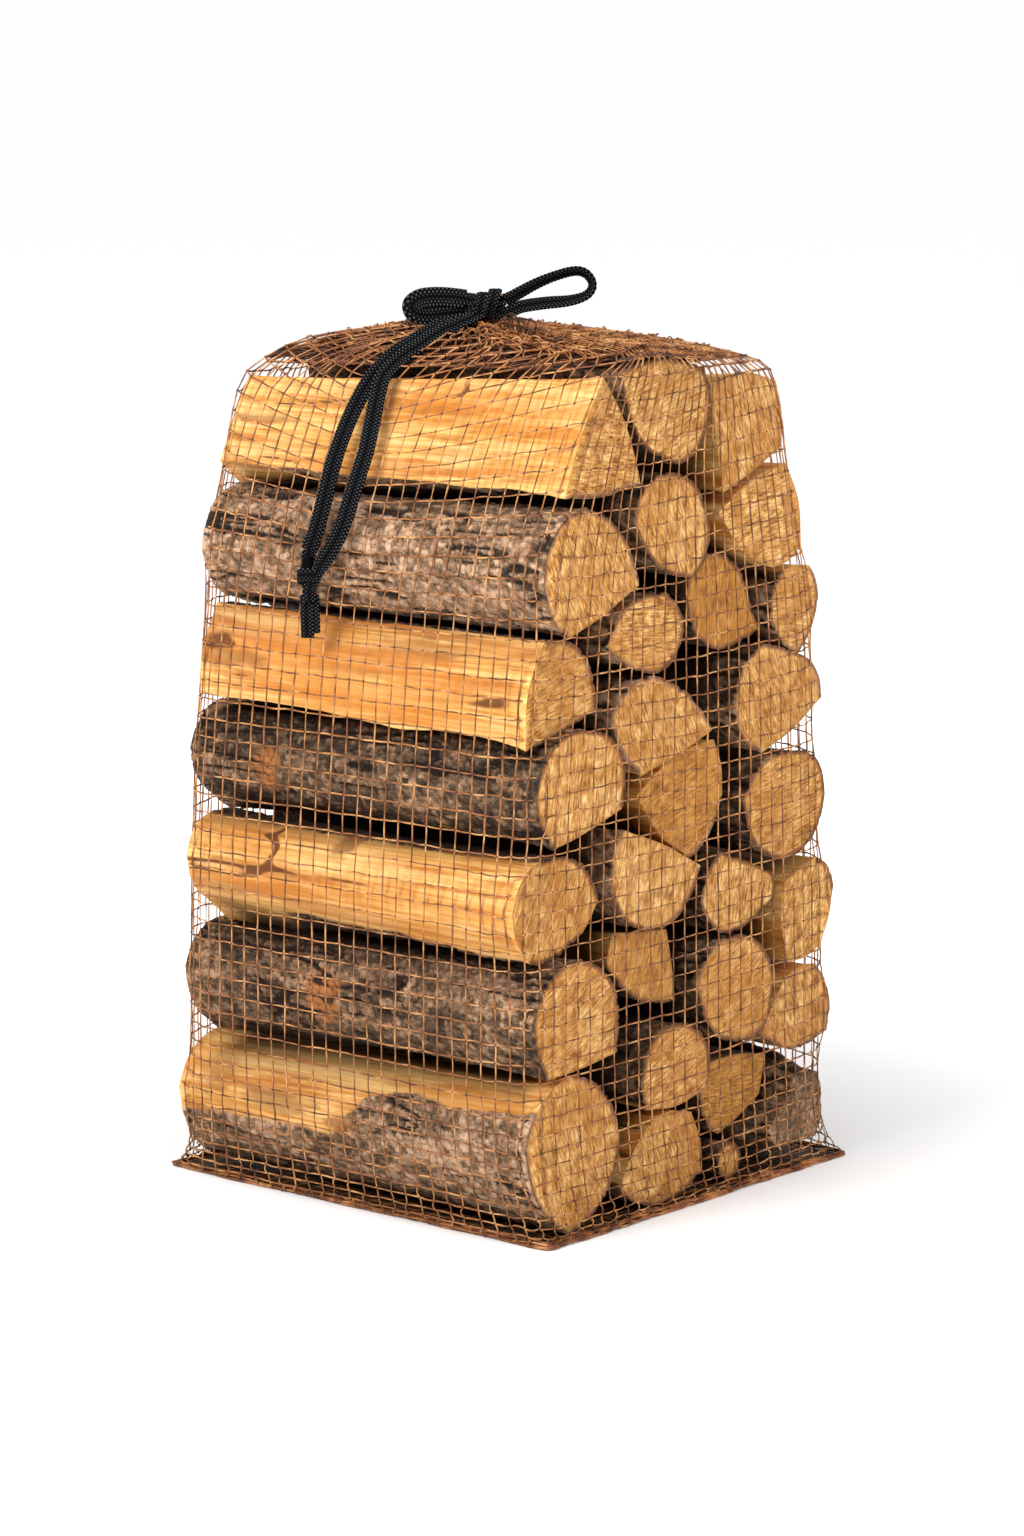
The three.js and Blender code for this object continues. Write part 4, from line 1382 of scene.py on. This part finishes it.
def crossings():
    """Rows x columns x 3. Each column is followed up the levels and divided by length."""
    levels = [level_ring(level) for level in NET_LEVELS]
    levels += [neck_ring(*level) for level in NECK_LEVELS]
    levels = np.array(levels)
    count = levels.shape[1]
    per_level = 24
    at = np.arange((len(levels) - 1) * per_level + 1) / per_level
    fine = smooth_curve(levels.reshape(len(levels), -1), at).reshape(len(at), count, 3)
    steps = np.linalg.norm(np.diff(fine, axis=0), axis=-1)
    along = np.concatenate([np.zeros((1, count)), np.cumsum(steps, axis=0)])
    shoulder = along[SHOULDER * per_level]
    neck = along[len(NET_LEVELS) * per_level]
    reach = shoulder.mean() / MM
    straight = round((reach - HEM_ROWS[-1]) / (CELL / MM))
    low = np.concatenate([HEM_ROWS, np.linspace(HEM_ROWS[-1], reach, straight + 1)[1:]])
    low = low[:, None] / low[-1] * shoulder
    over = np.linspace(0, 1, ROWS_OVER_TOP + 1)[1:, None] * (neck - shoulder) + shoulder
    rise = np.linspace(0, 1, ROWS_OF_NECK + 1)[1:, None] * (along[-1] - neck) + neck
    want = np.concatenate([low, over, rise])
    nodes = np.empty((len(want), count, 3))
    for column in range(count):
        for k in range(3):
            nodes[:, column, k] = np.interp(want[:, column], along[:, column], fine[:, column, k])
    return nodes, len(low)


def grid_directions(nodes):
    """Unit vectors up the columns, round the rows, and out of the bag."""
    up = unit(np.gradient(nodes, axis=0))
    around = unit(np.roll(nodes, -1, 1) - np.roll(nodes, 1, 1))
    return up, around, unit(np.cross(around, up))


def wandering(nodes):
    """The crossings pushed about in the net's own surface in broad waves."""
    up, around = grid_directions(nodes)[:2]
    row = np.arange(len(nodes))[:, None]
    free = ramp(row, 2, 9) * (1 - ramp(row, len(nodes) - 10, len(nodes) - 4))
    wave = 3.4 * MM * smooth_noise(nodes / 0.075, 21) + 1.2 * MM * smooth_noise(nodes / 0.03, 22)
    sway = 1.8 * MM * smooth_noise(nodes / 0.06, 23) + 0.8 * MM * smooth_noise(nodes / 0.02, 24)
    return nodes + up * (free * wave)[..., None] + around * (free * sway)[..., None]


def hull_sections(sections):
    """Each section's corners that lie inside its convex hull, moved onto the hull, since a
    tight net doesn't follow a hollow."""
    full = sections.copy()
    for ring in full[..., 1:]:
        order = np.lexsort((ring[:, 1], ring[:, 0]))
        sides = []
        for way in (order, order[::-1]):
            kept = []
            for k in way:
                while len(kept) > 1:
                    a, b = ring[kept[-1]] - ring[kept[-2]], ring[k] - ring[kept[-2]]
                    if a[0] * b[1] - a[1] * b[0] > 0:
                        break
                    kept.pop()
                kept.append(k)
            sides += kept[:-1]
        corners = np.sort(np.array(sides))
        steps = np.arange(len(ring))
        closed = np.append(corners, corners[0] + len(ring))
        steps = np.where(steps < corners[0], steps + len(ring), steps)
        for axis in range(2):
            values = np.append(ring[corners, axis], ring[corners[0], axis])
            ring[:, axis] = np.interp(steps, closed, values)
    return full


HULLS = {name: hull_sections(sections) for name, sections in SECTIONS.items()}


def push_out(points, clearance):
    """Points inside a log, or nearer to it than clearance, moved out of its nearest face.
    A log is the space behind all edges of its section at that x, between its two ends."""
    flat = points.reshape(-1, 3).copy()
    for sections in HULLS.values():
        low = sections.min((0, 1)) - clearance
        high = sections.max((0, 1)) + clearance
        near = np.flatnonzero(((flat > low) & (flat < high)).all(1))
        if not len(near):
            continue
        here = flat[near]
        stations = sections[:, 0, 0]
        where = np.interp(here[:, 0], stations, np.arange(len(stations)))
        k = np.minimum(where.astype(int), len(stations) - 2)
        t = (where - k)[:, None, None]
        ring = (sections[k] * (1 - t) + sections[k + 1] * t)[..., 1:]
        edge = np.roll(ring, -1, 1) - ring
        normal = unit(np.stack([edge[..., 1], -edge[..., 0]], -1))
        gap = ((here[:, None, 1:] - ring) * normal).sum(-1)
        side = gap.argmax(1)
        past_side = gap.max(1)
        past_near = here[:, 0] - stations[-1]
        past_far = stations[0] - here[:, 0]
        past_end = np.maximum(past_near, past_far)
        inside = (past_side < clearance) & (past_end < clearance)
        sideways = inside & (past_side >= past_end)
        endways = inside & (past_side < past_end)
        chosen = normal[np.arange(len(here)), side]
        here[:, 1:] += np.where(sideways[:, None], chosen * (clearance - past_side)[:, None], 0)
        here[:, 0] += np.where(endways, np.sign(past_near - past_far) * (clearance - past_end), 0)
        flat[near] = here
    return flat.reshape(points.shape)


PULLS = 45  # rounds of tightening
PULL = 0.6  # share of the way to its neighbours' mean that a crossing goes in one round
UPRIGHT = 0.38  # weight of each neighbour in a crossing's own column; a row's get the rest
KNOT_JITTER = 0.8 * MM
PLEAT = 2.2  # height of the folds towards the neck, in millimetres
HEM_WAVE = 1.6  # height of the hem's waves, in millimetres


def pulled_tight(nodes, low_rows):
    """The net drawn over the stack: each crossing moves towards the mean of its four
    neighbours, as a stretched thread pulls it, and every log pushes it back out. The
    columns carry the logs' weight, so they are tighter than the rows."""
    row = np.arange(len(nodes))[:, None, None]
    pull = PULL * ramp(row, 1, 6) * (1 - ramp(row, low_rows - 1, low_rows + 7))
    for _ in range(PULLS):
        mean = (np.roll(nodes, 1, 1) + np.roll(nodes, -1, 1)) * (0.5 - UPRIGHT)
        mean[1:-1] += (nodes[2:] + nodes[:-2]) * UPRIGHT
        mean[[0, -1]] = nodes[[0, -1]]
        nodes = push_out(nodes + pull * (mean - nodes), STAND_OFF)
    return nodes


def uneven(nodes, low_rows):
    """Unevenness from knot to knot, pleats that gather the columns in bunches towards the
    neck, and a ragged hem."""
    up, around, out = grid_directions(nodes)
    rows, columns = nodes.shape[:2]
    row = np.arange(rows)[:, None]
    place = np.stack(np.meshgrid(np.arange(rows), np.arange(columns), indexing="ij"), -1)
    jitter = lattice(place, 31) - 0.5, lattice(place, 32) - 0.5
    nodes = nodes + up * (KNOT_JITTER * jitter[0])[..., None]
    nodes = nodes + around * (KNOT_JITTER * jitter[1])[..., None]
    over = ramp(row, low_rows + 4, low_rows + 13) * (1 - ramp(row, rows - 6, rows - 2))
    turn = np.arange(columns)[None] * 2 * np.pi / columns + 0 * row
    circle = np.stack([3.4 * np.cos(turn), 3.4 * np.sin(turn), 0.04 * row + 0 * turn], -1)
    fold = smooth_noise(circle, 25) + 0.6 * smooth_noise(circle * 2.3, 26)
    reach = np.linalg.norm(np.roll(nodes, -1, 1) - nodes, axis=-1)
    nodes = nodes + out * (over * PLEAT * MM * (fold + 0.3))[..., None]
    nodes = nodes + around * (over * reach * 1.5 * np.roll(fold, 3, 1))[..., None]
    hem = 1 - ramp(row, 1, 6)
    nodes = nodes + up * (hem * HEM_WAVE * MM * smooth_noise(nodes / 0.018, 27))[..., None]
    nodes = push_out(nodes, STAND_OFF)
    nodes[..., 2] = np.maximum(nodes[..., 2], NET_FLOOR)
    return nodes


NODES, LOW_ROWS = crossings()
NODES = uneven(pulled_tight(wandering(NODES), LOW_ROWS), LOW_ROWS)
print("net", NODES.shape[0], "rows x", NODES.shape[1], "columns")

# %% [markdown]
# ## Threads and knots
#
# A thread between two crossings is as long as a cell. Where the crossings are closer, near
# the neck and in the hem, it bows out by what is left over, and less so where the net is
# drawn over the stack. All threads of one direction are carried at once: a square section
# is swept along each, and its corners are shaded round. A small dark knot sits on each
# crossing. Under the gathered top lie four more layers of net, which fill the dome above
# the top logs as the slack net does. Their colours are painted shade: redder and darker
# the further in they are.

# %% Threads as tubes
STEPS_PER_CELL = 3
SIDES = 4
TAUT = 0.25  # share of its bow that a thread has where the net is drawn over the stack
LOOSENS = (0.468, 0.482)  # between these heights it gets the whole bow
HIGHEST_BOW = 0.32  # in cells
RESTS_AT = 0.8  # the least height of a thread's middle, in thicknesses
UNEVENNESS = 0.25  # how much the thickness varies along a thread


def bowed(nodes, out, fall, closed, seed):
    """Points along threads (threads x points x 3) through their crossings. Between two of
    them a parabola of height sqrt(3/8 x chord x slack) bows it, in a direction of its own
    or, if fall is given, to the side that fall points to. The bow is lower where the net is
    taut, and grows again towards the floor."""
    threads = len(nodes)
    ahead = np.roll(nodes, -1, 1) if closed else nodes[:, 1:]
    here = nodes if closed else nodes[:, :-1]
    chord = np.linalg.norm(ahead - here, axis=-1)
    slack = np.clip(CELL - chord, 0, CELL)
    height = np.minimum(np.sqrt(0.375 * chord * slack + 0.02 * slack**2), HIGHEST_BOW * CELL)
    level = here[..., 2]
    height = height * np.maximum(TAUT, np.maximum(ramp(level, *LOOSENS), 0.8 - level / 0.04))
    place = np.stack(np.meshgrid(np.arange(threads), np.arange(chord.shape[1]), indexing="ij"), -1)
    chance = lattice(place, seed)
    across = unit(np.cross(ahead - here, out[:, : chord.shape[1]]))
    swing = np.where(chance < 0.3, -1.0, 1.0) * (0.4 + 0.6 * lattice(place, seed + 1))
    lift = 0.15 + 0.5 * lattice(place, seed + 2)
    if fall is not None:
        across = across * np.sign((across * fall[:, : chord.shape[1]]).sum(-1, keepdims=True))
    bow = (across * swing[..., None] + out[:, : chord.shape[1]] * lift[..., None]) * height[..., None]
    t = np.arange(STEPS_PER_CELL) / STEPS_PER_CELL
    points = (
        here[:, :, None] + (ahead - here)[:, :, None] * t[None, None, :, None]
        + bow[:, :, None] * (4 * t * (1 - t))[None, None, :, None]
    ).reshape(threads, -1, 3)
    if not closed:
        points = np.concatenate([points, nodes[:, -1:]], axis=1)
    return points


def tubes(paths, closed, thickness):
    """Points and faces of a tube along each path. Open ends are closed by a quad."""
    lifted = np.maximum(paths[..., 2:], RESTS_AT * thickness)
    paths = np.concatenate([paths[..., :2], lifted], -1)
    ahead = np.roll(paths, -1, 1) - np.roll(paths, 1, 1) if closed else np.gradient(paths, axis=1)
    along = unit(ahead)
    middle = paths.mean((0, 1))
    guide = unit(paths - middle + 1e-6)
    side = unit(np.cross(along, guide))
    other = np.cross(along, side)
    turn = (np.arange(SIDES) + 0.5) * 2 * np.pi / SIDES
    ring = np.cos(turn)[:, None] * side[:, :, None] + np.sin(turn)[:, None] * other[:, :, None]
    width = thickness / 2 * (1 + UNEVENNESS * smooth_noise(paths / 0.012, 41))
    points = paths[:, :, None] + ring * width[:, :, None, None]
    threads, count = paths.shape[:2]
    faces = ring_faces(count, SIDES) if closed else grid_faces(count, SIDES)[:, ::-1]
    if not closed:
        start = np.arange(SIDES)[None]
        faces = np.concatenate([faces, start, start[:, ::-1] + (count - 1) * SIDES])
    shift = np.arange(threads)[:, None, None] * count * SIDES
    return points.reshape(-1, 3), (faces[None] + shift).reshape(-1, 4)


def knots(nodes, size):
    """A small eight-sided bead at each crossing."""
    corners = np.array([(1, 0, 0), (0, 1, 0), (-1, 0, 0), (0, -1, 0), (0, 0, 1), (0, 0, -1)])
    sides = np.array([
        (0, 1, 4), (1, 2, 4), (2, 3, 4), (3, 0, 4), (1, 0, 5), (2, 1, 5), (3, 2, 5), (0, 3, 5),
    ])
    flat = nodes.reshape(-1, 3)
    points = flat[:, None] + corners * size
    faces = sides[None] + np.arange(len(flat))[:, None, None] * len(corners)
    return points.reshape(-1, 3), faces.reshape(-1, 3)


# %% The look of the net
def net_material(name, stops):
    """Plastic thread in shades that vary along it."""
    material, tree, shader = new_material(name)
    place = tree.nodes.new("ShaderNodeTexCoord").outputs
    shade = noise(tree, place["Object"], (90, 90, 90), 3.0, 0.6)
    wire(tree, colour_ramp(tree, shade, stops), shader.inputs["Base Color"])
    shader.inputs["Roughness"].default_value = 0.5
    shader.inputs["Specular IOR Level"].default_value = 0.4
    return material


THREAD_LOOK = net_material("net_thread", [
    (0.34, srgb(98, 55, 25)), (0.50, srgb(154, 97, 50)), (0.66, srgb(210, 154, 96)),
])
# Painted shade: darker, redder copies of the thread, for the bunched hem and the net folded in under
# the top, and darker still for the deeper folds.
SHADED_THREAD_LOOK = net_material("net_thread_painted_shade", [
    (0.34, srgb(78, 40, 20)), (0.50, srgb(138, 80, 42)), (0.66, srgb(196, 130, 80)),
])
DEEP_SHADED_THREAD_LOOK = net_material("net_thread_deep_painted_shade", [
    (0.34, srgb(40, 20, 11)), (0.50, srgb(78, 42, 23)), (0.66, srgb(122, 72, 42)),
])
KNOT_LOOK = net_material("net_knot", [(0.3, srgb(22, 11, 6)), (0.7, srgb(60, 32, 15))])
# A near black sheet of painted shade on the floor under the stack, inside the hem.
SHADE_SHEET_LOOK = net_material("painted_shade_sheet", [(0.3, srgb(22, 14, 10)), (0.7, srgb(58, 38, 26))])


def add_net(name, points, faces, material):
    """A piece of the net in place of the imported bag. faces is one array, or a list of them
    with one number of corners each."""
    faces = faces if isinstance(faces, list) else [faces]
    piece = new_mesh(name, points, faces, material)
    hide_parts("net_bag")


def add_threads(name, paths, closed, material, thickness=THREAD):
    """Threads along paths as one piece of the net."""
    add_net(name, *tubes(paths, closed, thickness), material)


# %% The pieces of the net
KNOT_SIZE = 0.95 * MM
FOLD_FROM = 0.463  # the mean height of the lowest row that is folded in
FOLD_FLOOR = 0.473  # the least height of a folded layer at the near end
FOLD_SLOPE = 0.038  # and how much lower it may lie, per metre away from there
FOLD_BOX = ((-0.127, -0.071, 0), (0.132, 0.082, 1))  # where it is tucked in
FOLD_THREAD = THREAD * 1.2


def both_ways(nodes, row_seed, column_seed):
    """The threads round the rows and those up the columns, all clear of the logs."""
    up, _, out = grid_directions(nodes)
    rows = bowed(nodes, out, -up, True, row_seed)
    columns = bowed(nodes.transpose(1, 0, 2), out.transpose(1, 0, 2), None, False, column_seed)
    return push_out(rows, STAND_OFF), push_out(columns, STAND_OFF)


def gathered_layer(name, depth, seed, material):
    """Slack net folded in under the outer one, between the top logs and the neck. What
    would hang below the top logs' upper arris is tucked in above it."""
    first = int(np.argmax(NODES[..., 2].mean(1) > FOLD_FROM))
    nodes = NODES[first : len(NODES) - ROWS_OF_NECK + 1]
    up, around, out = grid_directions(nodes)
    row = np.arange(len(nodes))[:, None]
    wave = 6 * MM * smooth_noise(nodes / 0.028, seed)
    sway = 6 * MM * smooth_noise(nodes / 0.024, seed + 1)
    sink = depth * (1 + 0.5 * smooth_noise(nodes / 0.02, seed + 2))
    sink = sink * (1 - 0.8 * ramp(row, len(nodes) - 6, len(nodes) - 1))
    shift = up * wave[..., None] + around * sway[..., None] - out * sink[..., None]
    nodes = nodes + shift * ramp(row, 0, 3)[..., None]
    lowest = FOLD_FLOOR - FOLD_SLOPE * (NEAR_PLANE - nodes[..., 0])
    below = nodes[..., 2] < lowest
    tucked = np.clip(nodes, *FOLD_BOX)
    tucked[..., 2] = lowest
    nodes = push_out(np.where(below[..., None], tucked, nodes), STAND_OFF)
    rows, columns = both_ways(nodes, seed + 3, seed + 4)
    add_threads(name + "_rows", rows, True, material, FOLD_THREAD)
    add_threads(name + "_columns", columns, False, material, FOLD_THREAD)


row_threads, column_threads = both_ways(NODES, 51, 61)
for name, half in zip(("net_rows_low", "net_rows_high"), np.split(row_threads, 2)):
    add_threads(name, half, True, THREAD_LOOK)
for name, half in zip(("net_columns_near", "net_columns_far"), np.split(column_threads, 2)):
    add_threads(name, half, False, THREAD_LOOK)
for name, depth, seed, material in (
    ("net_fold_upper", 3.0, 81, SHADED_THREAD_LOOK), ("net_fold_middle", 6.5, 91, DEEP_SHADED_THREAD_LOOK),
    ("net_fold_lower", 10.0, 97, DEEP_SHADED_THREAD_LOOK), ("net_fold_last", 13.0, 103, DEEP_SHADED_THREAD_LOOK),
):
    gathered_layer(name, depth * MM, seed, material)
add_net("net_knots", *knots(NODES[2:-4], KNOT_SIZE), KNOT_LOOK)

# %% [markdown]
# ## The bottom of the bag
#
# The hem is a bunch of net, drawn as seven turns of thread round the lowest row. They hide
# how the bag is closed below, which the photograph doesn't show: there the threads run
# straight across from side to side. The gap between the hem and the logs is dark: a dark
# sheet on the floor inside the hem is painted shade there.

# %% The bunched hem
HEM_TURNS = 7
HEM_LAYERS = 3
HEM_MIDDLE = (0, 0.008, 0)


def bunched_hem(ring):
    """Turns of thread round a ring, in HEM_LAYERS layers. Each layer lies 1.0 mm higher and
    1.1 mm further in, and each turn sways in waves of its own."""
    turn = np.arange(HEM_TURNS)[:, None]
    layer = turn % HEM_LAYERS
    paths = np.broadcast_to(ring, (HEM_TURNS, *ring.shape)) + 0.0
    place = paths / 0.016 + turn[..., None] * 7.3
    inward = 1.6 * MM * smooth_noise(place, 101) + layer * 1.1 * MM
    above = 1.8 * MM * smooth_noise(place, 102) + layer * 1.0 * MM
    paths = paths - unit(ring * [1, 1, 0] - HEM_MIDDLE) * inward[..., None]
    paths[..., 2] = np.maximum(paths[..., 2] + above, NET_FLOOR)
    return push_out(paths, STAND_OFF)


ring_at = np.arange(0, NODES.shape[1], 1 / STEPS_PER_CELL)
ring = smooth_curve(NODES[0], ring_at, np.zeros(NODES.shape[1], bool))
# The hem is drawn in the darker thread of painted shade.
add_threads("net_hem", bunched_hem(ring), True, SHADED_THREAD_LOOK, THREAD * 1.15)

# %% A dark sheet of painted shade in the bottom of the bag
SHADE_SHEET_RINGS = (  # share of the way from the middle to the hem, and height in millimetres
    (0.0, 0.25), (0.975, 0.25), (0.985, 0.6), (0.975, 1.0), (0.5, 1.1), (0.0, 1.1),
)
painted_shade_sheet = np.stack([ring * (1, 1, 0) * reach + (0, 0, height * MM) for reach, height in SHADE_SHEET_RINGS])
shade_sheet_points = np.concatenate([painted_shade_sheet[0, :1], painted_shade_sheet[1:-1].reshape(-1, 3), painted_shade_sheet[-1, :1]])
shade_sheet_faces = list(closed_grid_faces(len(SHADE_SHEET_RINGS), painted_shade_sheet.shape[1]))
add_net("shade_sheet_under_stack", shade_sheet_points, shade_sheet_faces, SHADE_SHEET_LOOK)

# %% The net under the stack
near, back, far, front = np.cumsum((0,) + COLUMNS_PER_SIDE[:3])
hem = NODES[0]
UNDER = {
    "net_under_long": (hem[near:back], hem[far:front][::-1]),
    "net_under_cross": (hem[back:far], hem[front:][::-1]),
}
for name, (first, second) in UNDER.items():
    t = np.linspace(0, 1, STEPS_PER_CELL * COLUMNS_PER_SIDE[0])[None, :, None]
    threads = first[:, None] * (1 - t) + second[:, None] * t
    sway = 1.5 * MM * smooth_noise(threads / 0.03, 71) * np.sin(np.pi * t[..., 0])
    threads = threads + np.array([0.7, 0.7, 0]) * sway[..., None]
    threads[..., 2] = NET_FLOOR
    add_threads(name, threads, False, THREAD_LOOK)
